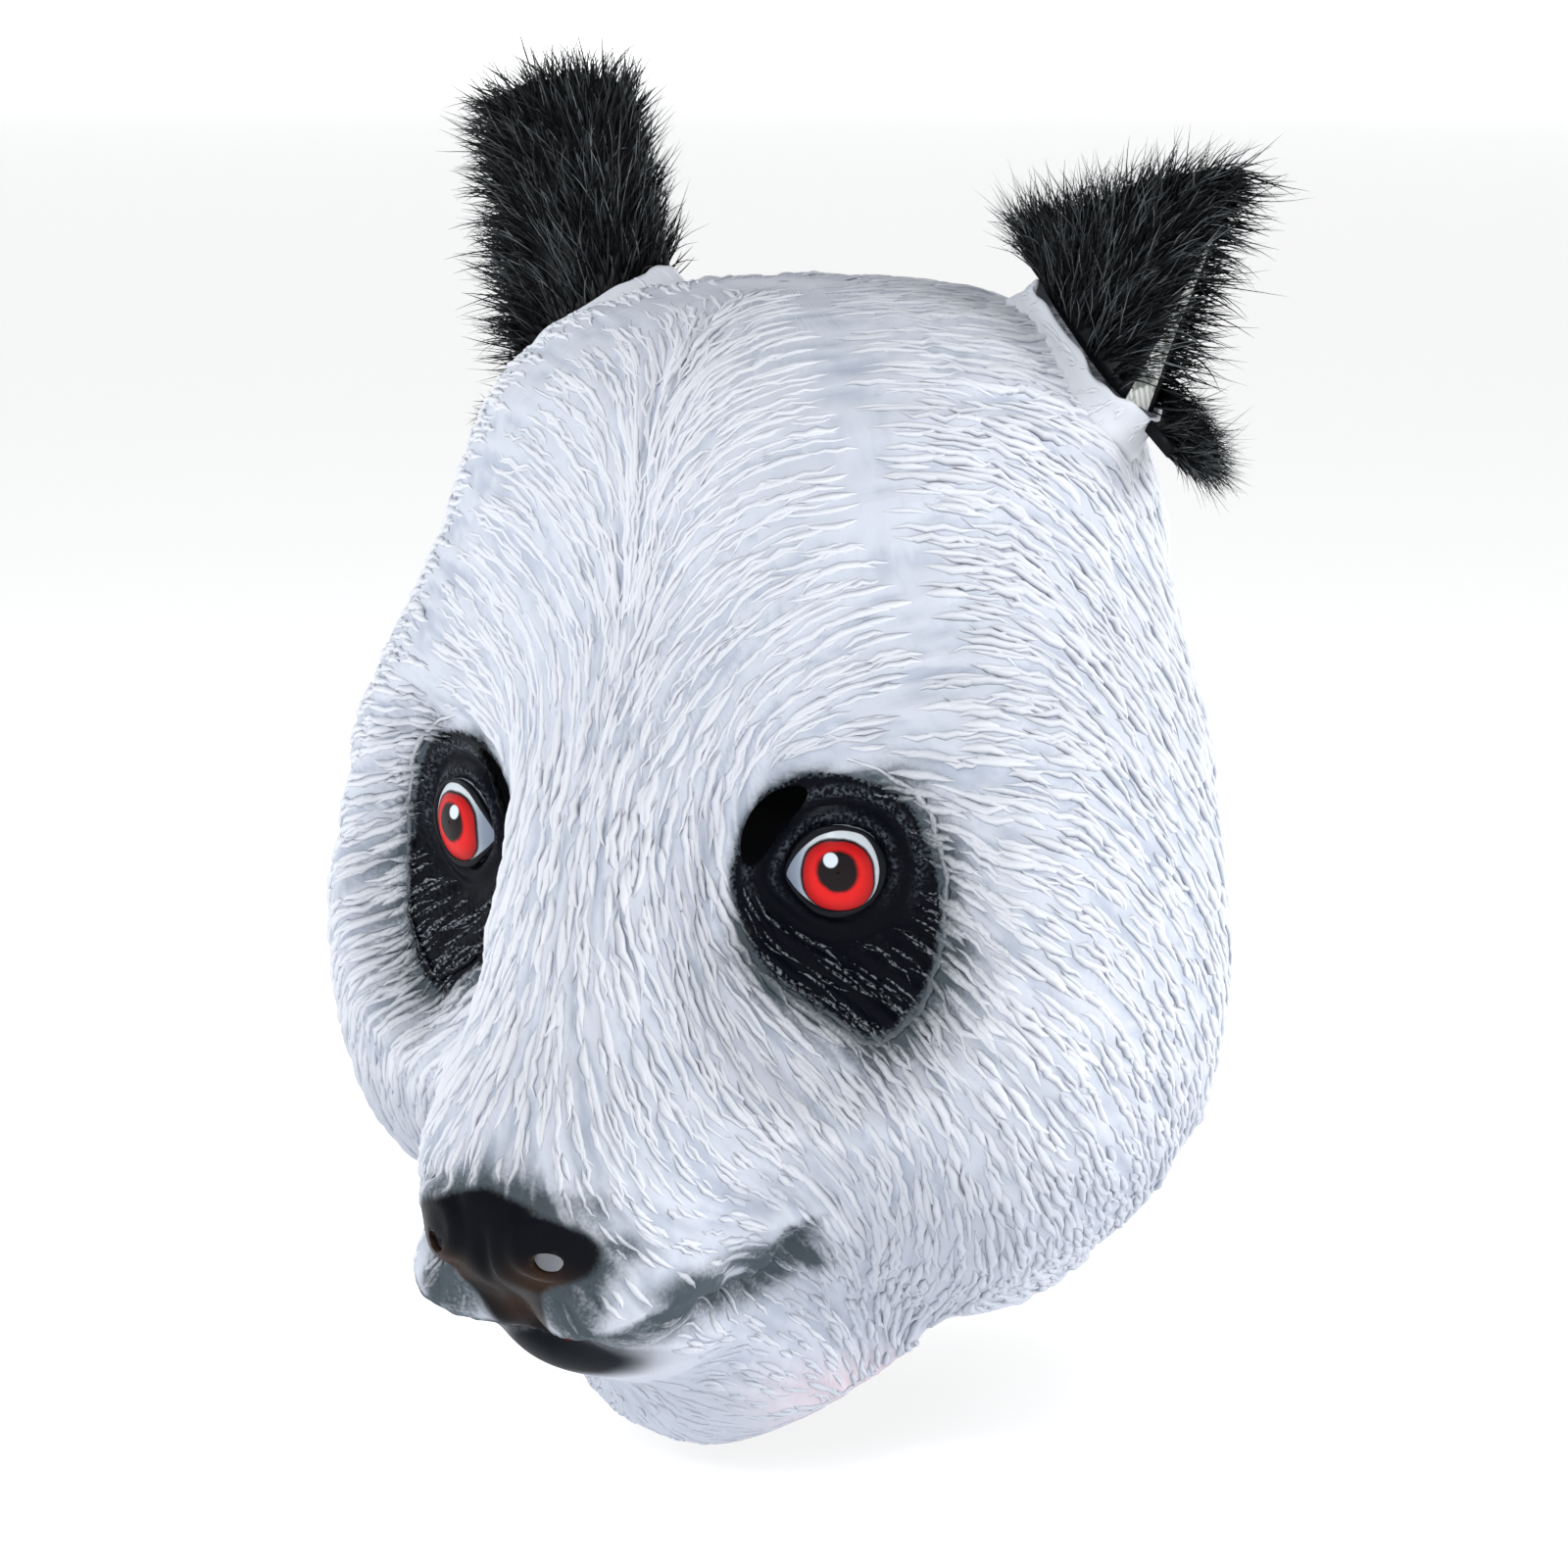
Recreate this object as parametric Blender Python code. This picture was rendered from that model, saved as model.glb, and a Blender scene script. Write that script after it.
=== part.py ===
"""Panda mask: a thin latex over-the-head mask with ears of black fur fabric.

Metres, +Z up. The face looks along -Y and +X is the wearer's left. The origin
is the inside of the crown, where the mask sits on a head.
"""
import bpy
import bmesh
import numpy as np

# Latex head
HEAD_WIDTH = 0.270
HEAD_DEPTH = 0.270
HEAD_HEIGHT = 0.345
WALL = 0.002
SIDE_RIM = 0.298        # crown down to the rim at the sides and the back
FLAP_DROP = 0.041       # how far the throat flap hangs below that rim
FLAP_HALF = 0.070
FLAP_FRONT = 0.012      # the flap begins this far in front of the ears' plane

# Eyes
EYE_SPACING = 0.132
EYE_DROP = 0.155
EYE_FORWARD = 0.079
EYE_YAW = 22.0
EYEBALL_RADIUS = 0.0215
EYEBALL_REACH = 0.019
SOCKET_WIDTH = 0.078
SOCKET_HEIGHT = 0.104
SOCKET_DROP = 0.008
SOCKET_FLOOR = 0.008
SOCKET_BOWL = 0.034

# See-through slots above the inner side of each painted eye
SLOT_RADIUS = 0.0255
SLOT_WIDTH = 0.010
SLOT_FROM = 112.0
SLOT_TO = 176.0
SLOT_CENTRE_DROP = 0.002

# Nostril holes
NOSTRIL_SPACING = 0.037
NOSTRIL_WIDTH = 0.0085
NOSTRIL_HEIGHT = 0.0068
NOSTRIL_DROP = 0.2545

# Ear seats: an upright lip of latex round the foot of each ear
SEAT_SPREAD = 0.652     # between the seats' centres, as a share of the head's width
SEAT_SHIFT = 0.0296     # both seats sit this share of half the width towards the right
SEAT_BACK = 0.137       # behind the ears' plane, as a share of the head's depth
SEAT_DROP = 0.055       # below the crown, as a share of the head's height
SEAT_YAW = 34.0
SEAT_SLOPE = 32.0
SEAT_ROLL = 28.0
SEAT_WIDTH = 0.062
SEAT_DEPTH = 0.034
SEAT_SWELL = 0.016
LIP_WALL = 0.0018
LIP_FLARE = 0.0060
LOWEST_LIP = 0.0030     # the lip stands at least this far above the skin
LIP_SINK = 0.65         # share of the wall that the lip's lower edge reaches into

# Ears: two fur panels back to back, a woven strip at their outer edge and a tuft
EAR_HEIGHT = 0.060
PANEL_THICKNESS = 0.0060
FOOT_SPACING = 0.0100   # between the inner faces of the two panels at the foot
LOCK_LENGTH = 0.0085
STRIP_THICKNESS = 0.0012
STRIP_ROWS = 5          # rows of locks that the strip runs beside
TUFT_REACH = 0.0120
GAP = 0.0003

# Grids of the latex skin and of a fur panel's locks
COLUMNS = 60
ROWS = 32
LOCKS_ACROSS = 8
LOCKS_UP = 7

# Forms that blend into the head. Places and radii are shares of half the head's
# width across, of its depth front to back and of its height up and down.
# name, both sides, x, y, z, rx, ry, rz, pitch, blend, plan power, side power
FORMS = [
    ("skull",  False, 0.00, 0.048, -0.319, 0.785, 0.367, 0.319,   0, 0.00, 2.3, 2.9),
    ("temple", True,  0.31, -0.022, -0.487, 0.655, 0.278, 0.267,  0, 0.11, 3.0, 2.4),
    ("jowl",   True,  0.38, -0.030, -0.620, 0.590, 0.270, 0.232,  0, 0.11, 3.0, 2.2),
    ("neck",   False, 0.00, 0.104, -0.740, 0.635, 0.296, 0.275,   0, 0.09, 2.4, 2.4),
    ("face",   False, 0.00, -0.220, -0.620, 0.560, 0.170, 0.200,  0, 0.13, 2.0, 2.0),
    ("bridge", False, 0.00, -0.319, -0.458, 0.215, 0.104, 0.290, -24, 0.12, 2.0, 2.0),
    ("muzzle", False, 0.00, -0.400, -0.701, 0.348, 0.163, 0.119,  0, 0.09, 2.0, 2.0),
    ("pad",    True,  0.15, -0.437, -0.777, 0.163, 0.096, 0.052,  0, 0.03, 2.0, 2.0),
    ("nose",   False, 0.00, -0.515, -0.722, 0.200, 0.063, 0.052, -12, 0.03, 2.4, 2.4),
    ("chin",   False, 0.00, -0.326, -0.835, 0.259, 0.133, 0.052,  0, 0.04, 2.0, 2.0),
    ("throat", False, 0.00, -0.059, -0.864, 0.370, 0.267, 0.145,  0, 0.07, 2.2, 2.0),
]
CORE_DROP = 0.507       # share of the height from the crown to the grid's centre

# Top corners of the ears, from the seat's centre: outward, back and up as shares of
# the ear's height. The left ear is bent outward, with its inner side low.
# ear, hand, outward, back and up of the inner corner, then of the outer corner
EARS = [
    ("left",   1, -0.44, 0.10, 0.52,  0.64, 0.24, 0.86),
    ("right", -1, -0.14, 0.13, 1.24,  0.76, 0.13, 1.12),
]


def smoothstep(low, high, x):
    """Rise from 0 at low to 1 at high without a kink."""
    t = np.clip((x - low) / (high - low), 0.0, 1.0)
    return t * t * (3.0 - 2.0 * t)


def soft_min(a, b, blend):
    """Smaller of two distances, rounded where they are within blend of each other."""
    if blend <= 0.0:
        return np.minimum(a, b)
    near = np.maximum(blend - np.abs(a - b), 0.0) / blend
    return np.minimum(a, b) - near * near * blend * 0.25


def form_distance(points, centre, radii, pitch, plan, side):
    """Distance to one rounded form, measured along the line to its centre."""
    d = points - centre
    turn = np.radians(pitch)
    y = np.cos(turn) * d[:, 1] + np.sin(turn) * d[:, 2]
    z = np.cos(turn) * d[:, 2] - np.sin(turn) * d[:, 1]
    level = (np.abs(d[:, 0] / radii[0]) ** plan + np.abs(y / radii[1]) ** plan) ** (1.0 / plan)
    reach = (level ** side + np.abs(z / radii[2]) ** side) ** (1.0 / side) + 1e-9
    return np.linalg.norm(d, axis=1) * (1.0 - 1.0 / reach)


def seat_axes(hand):
    """Centre of an ear seat's top, and its long, forward and outward directions."""
    yaw, slope, roll = np.radians([SEAT_YAW, SEAT_SLOPE, SEAT_ROLL])
    centre = np.array([(hand * SEAT_SPREAD - SEAT_SHIFT) * HEAD_WIDTH / 2,
                       SEAT_BACK * HEAD_DEPTH, -SEAT_DROP * HEAD_HEIGHT])
    along = np.array([np.cos(slope) * np.cos(yaw), -np.cos(slope) * np.sin(yaw), -np.sin(slope)])
    level = np.array([-np.sin(yaw), -np.cos(yaw), 0.0])
    upright = np.cross(along, level)
    upright *= np.sign(upright[2])
    normal = np.cos(roll) * upright - np.sin(roll) * level
    front = np.cos(roll) * level + np.sin(roll) * upright
    flip = np.array([hand, 1.0, 1.0])
    return centre, along * flip, front * flip, normal * flip


def head_distance(points):
    """Distance to the whole head, negative inside; z is measured from the crown."""
    total = None
    unit = np.array([HEAD_WIDTH / 2, HEAD_DEPTH, HEAD_HEIGHT])
    for name, both, x, y, z, rx, ry, rz, pitch, blend, plan, side in FORMS:
        for hand in ((1, -1) if both else (1,)):
            centre = np.array([x * hand, y, z]) * unit
            radii = np.array([rx, ry, rz]) * unit
            d = form_distance(points, centre, radii, pitch, plan, side)
            total = d if total is None else soft_min(total, d, blend * HEAD_WIDTH)
    for hand in (1, -1):
        centre, along, front, normal = seat_axes(hand)
        d = points - centre + normal * SEAT_SWELL
        share = np.stack([2 * d @ along / SEAT_WIDTH, 2 * d @ front / SEAT_DEPTH, d @ normal / SEAT_SWELL])
        reach = np.linalg.norm(share, axis=0) + 1e-9
        swell = np.linalg.norm(d, axis=1) * (1.0 - 1.0 / reach) + LIP_FLARE * 0.5
        total = soft_min(total, swell, SEAT_SWELL)
    return total


def core():
    """Centre that every line of the skin's grid starts from."""
    return np.array([0.0, 0.0, -CORE_DROP * HEAD_HEIGHT])


def cast(directions):
    """Distance from the core to the skin along each direction, by halving."""
    far = HEAD_DEPTH * 0.85
    near = HEAD_DEPTH * 0.08
    high = np.full(len(directions), far)
    low = np.full(len(directions), near)
    open_rays = np.ones(len(directions), bool)
    for reach in np.linspace(far, near, 32)[1:]:
        todo = np.where(open_rays)[0]
        if len(todo) == 0:
            break
        hit = todo[head_distance(core() + directions[todo] * reach) < 0.0]
        low[hit] = reach
        open_rays[hit] = False
        high[np.where(open_rays)[0]] = reach
    for _ in range(16):
        middle = (high + low) / 2
        inside = head_distance(core() + directions * middle[:, None]) < 0.0
        low = np.where(inside, middle, low)
        high = np.where(inside, high, middle)
    return (high + low) / 2


def rim_level(points):
    """Height of the rim: level, with a rounded flap hanging at the throat."""
    front = smoothstep(FLAP_FRONT + 0.018, FLAP_FRONT - 0.022, points[..., 1])
    across = np.clip(1.0 - (points[..., 0] / FLAP_HALF) ** 2, 0.0, 1.0)
    return -SIDE_RIM - FLAP_DROP * front * across


def grid_directions(columns, rows):
    """Directions from the core: columns close together at the face, rows from the crown to the rim."""
    t = np.linspace(-np.pi, np.pi, columns, endpoint=False)
    phi = t - 0.45 * np.sin(t) - np.pi / 2
    tries = np.linspace(np.radians(100), np.radians(176), 90)
    lean = np.stack([np.sin(tries)[:, None] * np.cos(phi),
                     np.sin(tries)[:, None] * np.sin(phi),
                     np.cos(tries)[:, None] + 0.0 * phi], axis=-1)
    reach = cast(lean.reshape(-1, 3)).reshape(len(tries), columns)
    skin = core() + lean * reach[..., None]
    above = skin[..., 2] - rim_level(skin)
    first = np.argmax(above < 0.0, axis=0)
    column = np.arange(columns)
    start, end = above[first - 1, column], above[first, column]
    last = tries[first - 1] + start / (start - end) * (tries[1] - tries[0])
    share = np.linspace(0.0, 1.0, rows + 1)[1:]
    share = share + 0.055 * np.sin(np.pi * share)
    theta = share[:, None] * last[None, :]
    return np.stack([np.sin(theta) * np.cos(phi), np.sin(theta) * np.sin(phi), np.cos(theta)], axis=-1)


def eye_axes(hand):
    """Centre of an eye and its across, up and outward directions."""
    yaw = np.radians(EYE_YAW)
    centre = np.array([hand * EYE_SPACING / 2, -EYE_FORWARD, -EYE_DROP])
    across = np.array([hand * np.cos(yaw), np.sin(yaw), 0.0])
    out = np.array([hand * np.sin(yaw), -np.cos(yaw), 0.0])
    return centre, across, np.array([0.0, 0.0, 1.0]), out


def sink_eyes(points):
    """Press the two eye sockets into the skin and raise the eyeball in each."""
    moved = points.copy()
    for hand in (1, -1):
        centre, across, up, out = eye_axes(hand)
        d = moved - centre
        u, v, w = d @ across, d @ up, d @ out
        ring = np.hypot(2 * u / SOCKET_WIDTH, 2 * (v + SOCKET_DROP) / SOCKET_HEIGHT)
        inside = smoothstep(1.30, 0.90, ring) * (w > -EYE_SPACING / 3)
        floor = -SOCKET_FLOOR * np.exp(-(u / SOCKET_BOWL) ** 2 - (v / SOCKET_BOWL) ** 2)
        sunk = soft_min(w, floor, 0.006)
        ball = np.sqrt(np.clip(EYEBALL_RADIUS ** 2 - u ** 2 - v ** 2, 0.0, None)) - EYEBALL_RADIUS
        on_ball = np.hypot(u, v) < EYEBALL_REACH
        sunk = np.where(on_ball, np.maximum(sunk, ball), sunk)
        moved += ((sunk - w) * inside)[:, None] * out
    return moved


def skin_grid(columns, rows):
    """Outer skin as rows of points, with the crown's point on its own."""
    directions = grid_directions(columns, rows)
    flat = directions.reshape(-1, 3)
    points = sink_eyes(core() + flat * cast(flat)[:, None]).reshape(rows, columns, 3)
    up = np.array([[0.0, 0.0, 1.0]])
    crown = core() + up * cast(up)[:, None]
    return points, crown[0]


def offset_inward(points, crown, distance):
    """The same grid moved in along its own normals."""
    along = np.roll(points, -1, axis=1) - np.roll(points, 1, axis=1)
    padded = np.concatenate([np.broadcast_to(crown, (1,) + points.shape[1:]), points, points[-1:]], axis=0)
    down = padded[2:] - padded[:-2]
    normal = np.cross(down, along)
    normal /= np.linalg.norm(normal, axis=-1, keepdims=True)
    return points - normal * distance, crown - np.array([0.0, 0.0, distance])


def drop_origin(points):
    """From heights below the outer crown to the part's frame, whose origin is inside it."""
    return points + np.array([0.0, 0.0, WALL])


def material(name, colour, roughness, coat=0.0):
    """Principled material of one colour."""
    made = bpy.data.materials.new(name)
    made.use_nodes = True
    shader = made.node_tree.nodes["Principled BSDF"]
    shader.inputs["Base Color"].default_value = (*colour, 1.0)
    shader.inputs["Roughness"].default_value = roughness
    shader.inputs["Metallic"].default_value = 0.0
    shader.inputs["Coat Weight"].default_value = coat
    return made


def mesh_object(name, verts, faces, surface):
    """Object from points and faces, its faces turned outward and shaded smooth."""
    mesh = bpy.data.meshes.new(name)
    mesh.from_pydata([tuple(v) for v in verts], [], faces)
    mesh.validate()
    bm = bmesh.new()
    bm.from_mesh(mesh)
    bmesh.ops.recalc_face_normals(bm, faces=bm.faces)
    if bm.calc_volume(signed=True) < 0.0:
        bmesh.ops.reverse_faces(bm, faces=bm.faces)
    bm.to_mesh(mesh)
    bm.free()
    mesh.shade_smooth()
    mesh.materials.append(surface)
    made = bpy.data.objects.new(name, mesh)
    bpy.context.scene.collection.objects.link(made)
    return made


def boolean(target, tool, operation):
    """Join or cut the target with a hidden helper object."""
    tool.hide_render = True
    tool.display_type = "WIRE"
    step = target.modifiers.new(tool.name, "BOOLEAN")
    step.operation = operation
    step.solver = "EXACT"
    step.object = tool


def loop_faces(rows, columns, closed_rows=False):
    """Quads between neighbouring rows of a grid that closes around its columns."""
    faces = []
    for row in range(rows if closed_rows else rows - 1):
        for column in range(columns):
            after = (column + 1) % columns
            below = (row + 1) % rows
            faces.append((row * columns + column, row * columns + after,
                          below * columns + after, below * columns + column))
    return faces


def latex_shell(surface):
    """The closed latex wall: outer skin, rim and inner skin in one loop of rows."""
    outer, crown = skin_grid(COLUMNS, ROWS)
    inner, inner_crown = offset_inward(outer, crown, WALL)
    rows = np.concatenate([outer, inner[::-1]], axis=0)
    verts = np.vstack([rows.reshape(-1, 3), crown, inner_crown])
    faces = loop_faces(2 * ROWS, COLUMNS)
    top, under = len(verts) - 2, len(verts) - 1
    last = (2 * ROWS - 1) * COLUMNS
    for column in range(COLUMNS):
        after = (column + 1) % COLUMNS
        faces.append((top, after, column))
        faces.append((under, last + column, last + after))
    return mesh_object("mask_shell", drop_origin(verts), faces, surface)


def slot_cutter(hand, surface):
    """Crescent prism for one see-through slot, along the eye's axis."""
    centre, across, up, out = eye_axes(hand)
    steps = 12
    outline = []
    for side in (1, -1):
        for step in range(steps + 1):
            share = step / steps if side == 1 else 1 - step / steps
            if side == -1 and step in (0, steps):
                continue
            angle = np.radians(SLOT_FROM + (SLOT_TO - SLOT_FROM) * share)
            half = SLOT_WIDTH / 2 * np.sin(np.pi * share) ** 0.5
            radius = SLOT_RADIUS + side * half
            outline.append((radius * np.cos(angle), radius * np.sin(angle) - SLOT_CENTRE_DROP))
    verts = []
    for reach in (-0.030, 0.040):
        verts += [centre + across * u + up * v + out * reach for u, v in outline]
    return prism("slot_cutter", verts, len(outline), surface)


def prism(name, verts, sides, surface):
    """Closed prism between two loops of the same number of points."""
    faces = [tuple(range(sides)), tuple(range(2 * sides - 1, sides - 1, -1))]
    for k in range(sides):
        after = (k + 1) % sides
        faces.append((k, after, sides + after, sides + k))
    return mesh_object(name, drop_origin(np.array(verts)), faces, surface)


def nostril_cutter(hand, surface):
    """Oval rod for one nostril hole, pointing back into the nose."""
    sides = 16
    start = np.array([hand * NOSTRIL_SPACING / 2, -HEAD_DEPTH * 0.62, -NOSTRIL_DROP])
    run = np.array([0.0, HEAD_DEPTH * 0.16, 0.0])
    turns = 2 * np.pi * np.arange(sides) / sides
    ring = np.stack([NOSTRIL_WIDTH / 2 * np.cos(turns), 0 * turns, NOSTRIL_HEIGHT / 2 * np.sin(turns)], axis=1)
    return prism("nostril_cutter", np.vstack([start + ring, start + run + ring]), sides, surface)


def seat_outline(hand, grow, angles):
    """Points of the seat's rounded outline in its own plane, grown by a distance."""
    centre, along, front, normal = seat_axes(hand)
    cos, sin = np.cos(angles), np.sin(angles)
    power = 2.0 / 3.0
    a = np.sign(cos) * np.abs(cos) ** power * (SEAT_WIDTH / 2 + grow)
    f = np.sign(sin) * np.abs(sin) ** power * (SEAT_DEPTH / 2 + grow)
    return centre + a[:, None] * along + f[:, None] * front


def drop_to_skin(points, normal, sink):
    """Points moved along the seat's axis until they lie a little under the skin."""
    high = np.full(len(points), 0.010)
    low = np.full(len(points), -0.060)
    for _ in range(18):
        middle = (high + low) / 2
        inside = head_distance(points + normal * middle[:, None]) < -sink
        low = np.where(inside, middle, low)
        high = np.where(inside, high, middle)
    return points + normal * low[:, None]


def lip_height(hand, angles):
    """The lip's top edge above the seat's plane, and its height above the skin, at each angle."""
    outer = seat_outline(hand, 0.0, angles)
    normal = seat_axes(hand)[3]
    foot = (drop_to_skin(outer, normal, 0.0) - outer) @ normal
    top = np.maximum(foot + LOWEST_LIP, 0.0)
    return top, top - foot


def seat_lip(hand, surface):
    """Upright latex lip round an ear's foot, its lower edge inside the wall."""
    steps = 40
    angles = 2 * np.pi * np.arange(steps) / steps
    normal = seat_axes(hand)[3]
    outer, inner = seat_outline(hand, 0.0, angles), seat_outline(hand, -LIP_WALL, angles)
    flared = seat_outline(hand, LIP_FLARE, angles)
    rows = [drop_to_skin(flared, normal, WALL * LIP_SINK)]
    top, tall = (height[:, None] for height in lip_height(hand, angles))
    rows.append(seat_outline(hand, LIP_FLARE * 0.35, angles) + normal * (top - tall * 0.72))
    rows.append(outer + normal * (top - tall * 0.35))
    rows.append(outer + normal * top)
    rows.append(inner + normal * top)
    rows.append(drop_to_skin(inner, normal, WALL * LIP_SINK))
    rows.append(drop_to_skin(outer, normal, WALL * LIP_SINK))
    verts = np.vstack(rows)
    return mesh_object("seat_lip", drop_origin(verts), loop_faces(len(rows), steps, True), surface)


def tufted(name, grid, lean, locks, surface):
    """Closed pad from loops of points, with a leaning lock of fur on some of its cells.

    Each row of the grid is one loop round the pad. A lock is a pyramid on a cell of
    the columns named in locks, and lean gives its tip's offset from the cell's centre.
    """
    rows, columns = grid.shape[:2]
    verts = list(grid.reshape(-1, 3))
    faces = [tuple(range(columns)), tuple(range(rows * columns - 1, (rows - 1) * columns - 1, -1))]
    for quad in loop_faces(rows, columns):
        if quad[0] % columns not in locks:
            faces.append(quad)
            continue
        middle = np.mean([verts[k] for k in quad], axis=0)
        verts.append(middle + lean(middle))
        faces += [(quad[k], quad[(k + 1) % 4], len(verts) - 1) for k in range(4)]
    return mesh_object(name, drop_origin(np.array(verts)), faces, surface)


def ear_top(hand, shares):
    """The ear's two top corners."""
    centre = seat_axes(hand)[0]
    reach = np.array(shares).reshape(2, 3) * EAR_HEIGHT
    reach[:, 0] *= hand
    return centre + reach[0], centre + reach[1]


def ear_sheet(hand, shares, side):
    """Function giving the inner face of a panel at (across, up), and its outward direction.

    side is 1 for the front panel and -1 for the back one.
    """
    centre, along, front, normal = seat_axes(hand)
    inner_top, outer_top = ear_top(hand, shares)
    facing = np.cross(outer_top - inner_top + along * SEAT_WIDTH, (inner_top + outer_top) / 2 - centre)
    facing *= np.sign(facing @ front) / np.linalg.norm(facing)

    def at(across, up):
        turn = smoothstep(0.0, 0.35, up)
        outward = front * (1 - turn) + facing * turn
        outward /= np.linalg.norm(outward)
        foot = centre + along * across * SEAT_WIDTH * 0.44 + normal * GAP
        top = (inner_top + outer_top) / 2 + (outer_top - inner_top) / 2 * across
        top = top + normal * EAR_HEIGHT * 0.10 * (1 - across ** 2)
        apart = (1 - up) ** 1.3 * FOOT_SPACING / 2 + GAP / 2
        return foot * (1 - up) + top * up + outward * side * apart, outward * side

    return at


def ear_panel(name, hand, shares, side, surface):
    """One fur panel of an ear: a pad that stands on the lip, with rows of locks."""
    at = ear_sheet(hand, shares, side)
    loops = []
    for row in range(LOCKS_UP + 1):
        up = row / LOCKS_UP
        thick = PANEL_THICKNESS * (1.0 - 0.35 * up)
        outer, inner = [], []
        for column in range(LOCKS_ACROSS + 1):
            across = 2 * column / LOCKS_ACROSS - 1
            point, outward = at(across, up)
            bulge = 0.30 + 0.70 * (1 - across ** 4)
            outer.append(point + outward * thick * bulge)
            inner.append(point)
        loops.append(outer + inner[::-1])
    grid = np.array(loops)
    middle = grid.mean(axis=(0, 1))
    rise = grid[-1].mean(axis=0) - grid[0].mean(axis=0)
    rise /= np.linalg.norm(rise)
    outward = at(0.0, 0.7)[1]
    along = seat_axes(hand)[1]

    def lean(point):
        sideways = (point - middle) @ along / (SEAT_WIDTH / 2)
        return (rise * 0.85 + outward * 0.40 + along * sideways ** 3 * 0.60) * LOCK_LENGTH

    locks = set(range(LOCKS_ACROSS)) | {LOCKS_ACROSS, 2 * LOCKS_ACROSS + 1}
    return tufted(name, grid, lean, locks, surface)


def ear_strip(name, hand, shares, surface):
    """Woven backing that shows between the two panels at the ear's outer edge."""
    front, back = ear_sheet(hand, shares, 1), ear_sheet(hand, shares, -1)
    inset = 1.0 - 2 * STRIP_THICKNESS / SEAT_WIDTH
    rows = STRIP_ROWS + 1
    verts = []
    for row in range(rows):
        up = row / LOCKS_UP
        for across, sheets in ((1.0, (front, back)), (inset, (back, front))):
            for sheet in sheets:
                point, outward = sheet(across, up)
                verts.append(point - outward * GAP)
    faces = loop_faces(rows, 4)
    faces += [(0, 1, 2, 3), tuple(range(4 * rows - 1, 4 * rows - 5, -1))]
    return mesh_object(name, drop_origin(np.array(verts)), faces, surface)


def ear_tuft(name, hand, surface):
    """Fur that hangs behind the lip at the ear's outer end."""
    columns, rows = 7, 4
    angles = np.radians(np.linspace(-85.0, -8.0, columns))
    normal = seat_axes(hand)[3]
    centre = seat_axes(hand)[0]
    tall = lip_height(hand, angles)[1]
    loops = []
    for row in range(rows):
        down = 0.02 + 0.34 * row / (rows - 1)
        drop = normal * (tall * down)[:, None]
        grow = GAP + LIP_FLARE * down ** 2
        reach = TUFT_REACH * (0.45 + 0.55 * np.sin(np.pi * min(1.0, 0.35 + down)))
        inner = seat_outline(hand, grow, angles) - drop
        outer = seat_outline(hand, grow + reach, angles) - drop
        loops.append(np.concatenate([outer, inner[::-1]]))

    def lean(point):
        away = point - centre
        away -= normal * (away @ normal)
        return (away / np.linalg.norm(away) * 0.95 - normal * 0.30) * LOCK_LENGTH

    return tufted(name, np.array(loops), lean, set(range(columns - 1)), surface)


def main():
    for old in list(bpy.data.objects):
        bpy.data.objects.remove(old)
    latex = material("white_latex", (0.80, 0.81, 0.84), 0.5)
    fur = material("black_fur_fabric", (0.015, 0.015, 0.017), 0.85)
    woven = material("woven_backing", (0.75, 0.76, 0.74), 0.9)
    shell = latex_shell(latex)
    for hand in (1, -1):
        boolean(shell, seat_lip(hand, latex), "UNION")
        boolean(shell, slot_cutter(hand, latex), "DIFFERENCE")
        boolean(shell, nostril_cutter(hand, latex), "DIFFERENCE")
    for ear, hand, *shares in EARS:
        ear_panel("ear_front_" + ear, hand, shares, 1, fur)
        ear_panel("ear_back_" + ear, hand, shares, -1, fur)
        ear_strip("ear_backing_" + ear, hand, shares, woven)
        ear_tuft("ear_tuft_" + ear, hand, fur)


main()
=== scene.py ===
"""Panda mask of moulded latex with ears of black fur fabric, held up as a head holds it.

Metres, +Z up. The face looks along -Y, +X is the wearer's left, and the origin
is the inside of the crown.
"""

import bmesh
import bpy
import mathutils
import numpy as np
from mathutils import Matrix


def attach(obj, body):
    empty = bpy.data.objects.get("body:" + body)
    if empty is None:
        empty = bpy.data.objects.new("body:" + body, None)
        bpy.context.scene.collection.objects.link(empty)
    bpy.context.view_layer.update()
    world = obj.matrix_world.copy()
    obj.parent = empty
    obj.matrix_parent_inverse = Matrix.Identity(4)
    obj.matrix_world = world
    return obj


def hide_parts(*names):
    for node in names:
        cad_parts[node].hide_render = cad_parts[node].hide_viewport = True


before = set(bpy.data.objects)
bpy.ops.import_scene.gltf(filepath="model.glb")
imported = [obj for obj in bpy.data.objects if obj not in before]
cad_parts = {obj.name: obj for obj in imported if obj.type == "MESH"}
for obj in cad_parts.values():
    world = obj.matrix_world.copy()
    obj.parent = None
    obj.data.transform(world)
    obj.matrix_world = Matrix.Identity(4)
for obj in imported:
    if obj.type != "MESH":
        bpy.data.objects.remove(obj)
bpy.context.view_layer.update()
bpy.context.scene.view_settings.view_transform = "Standard"

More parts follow.
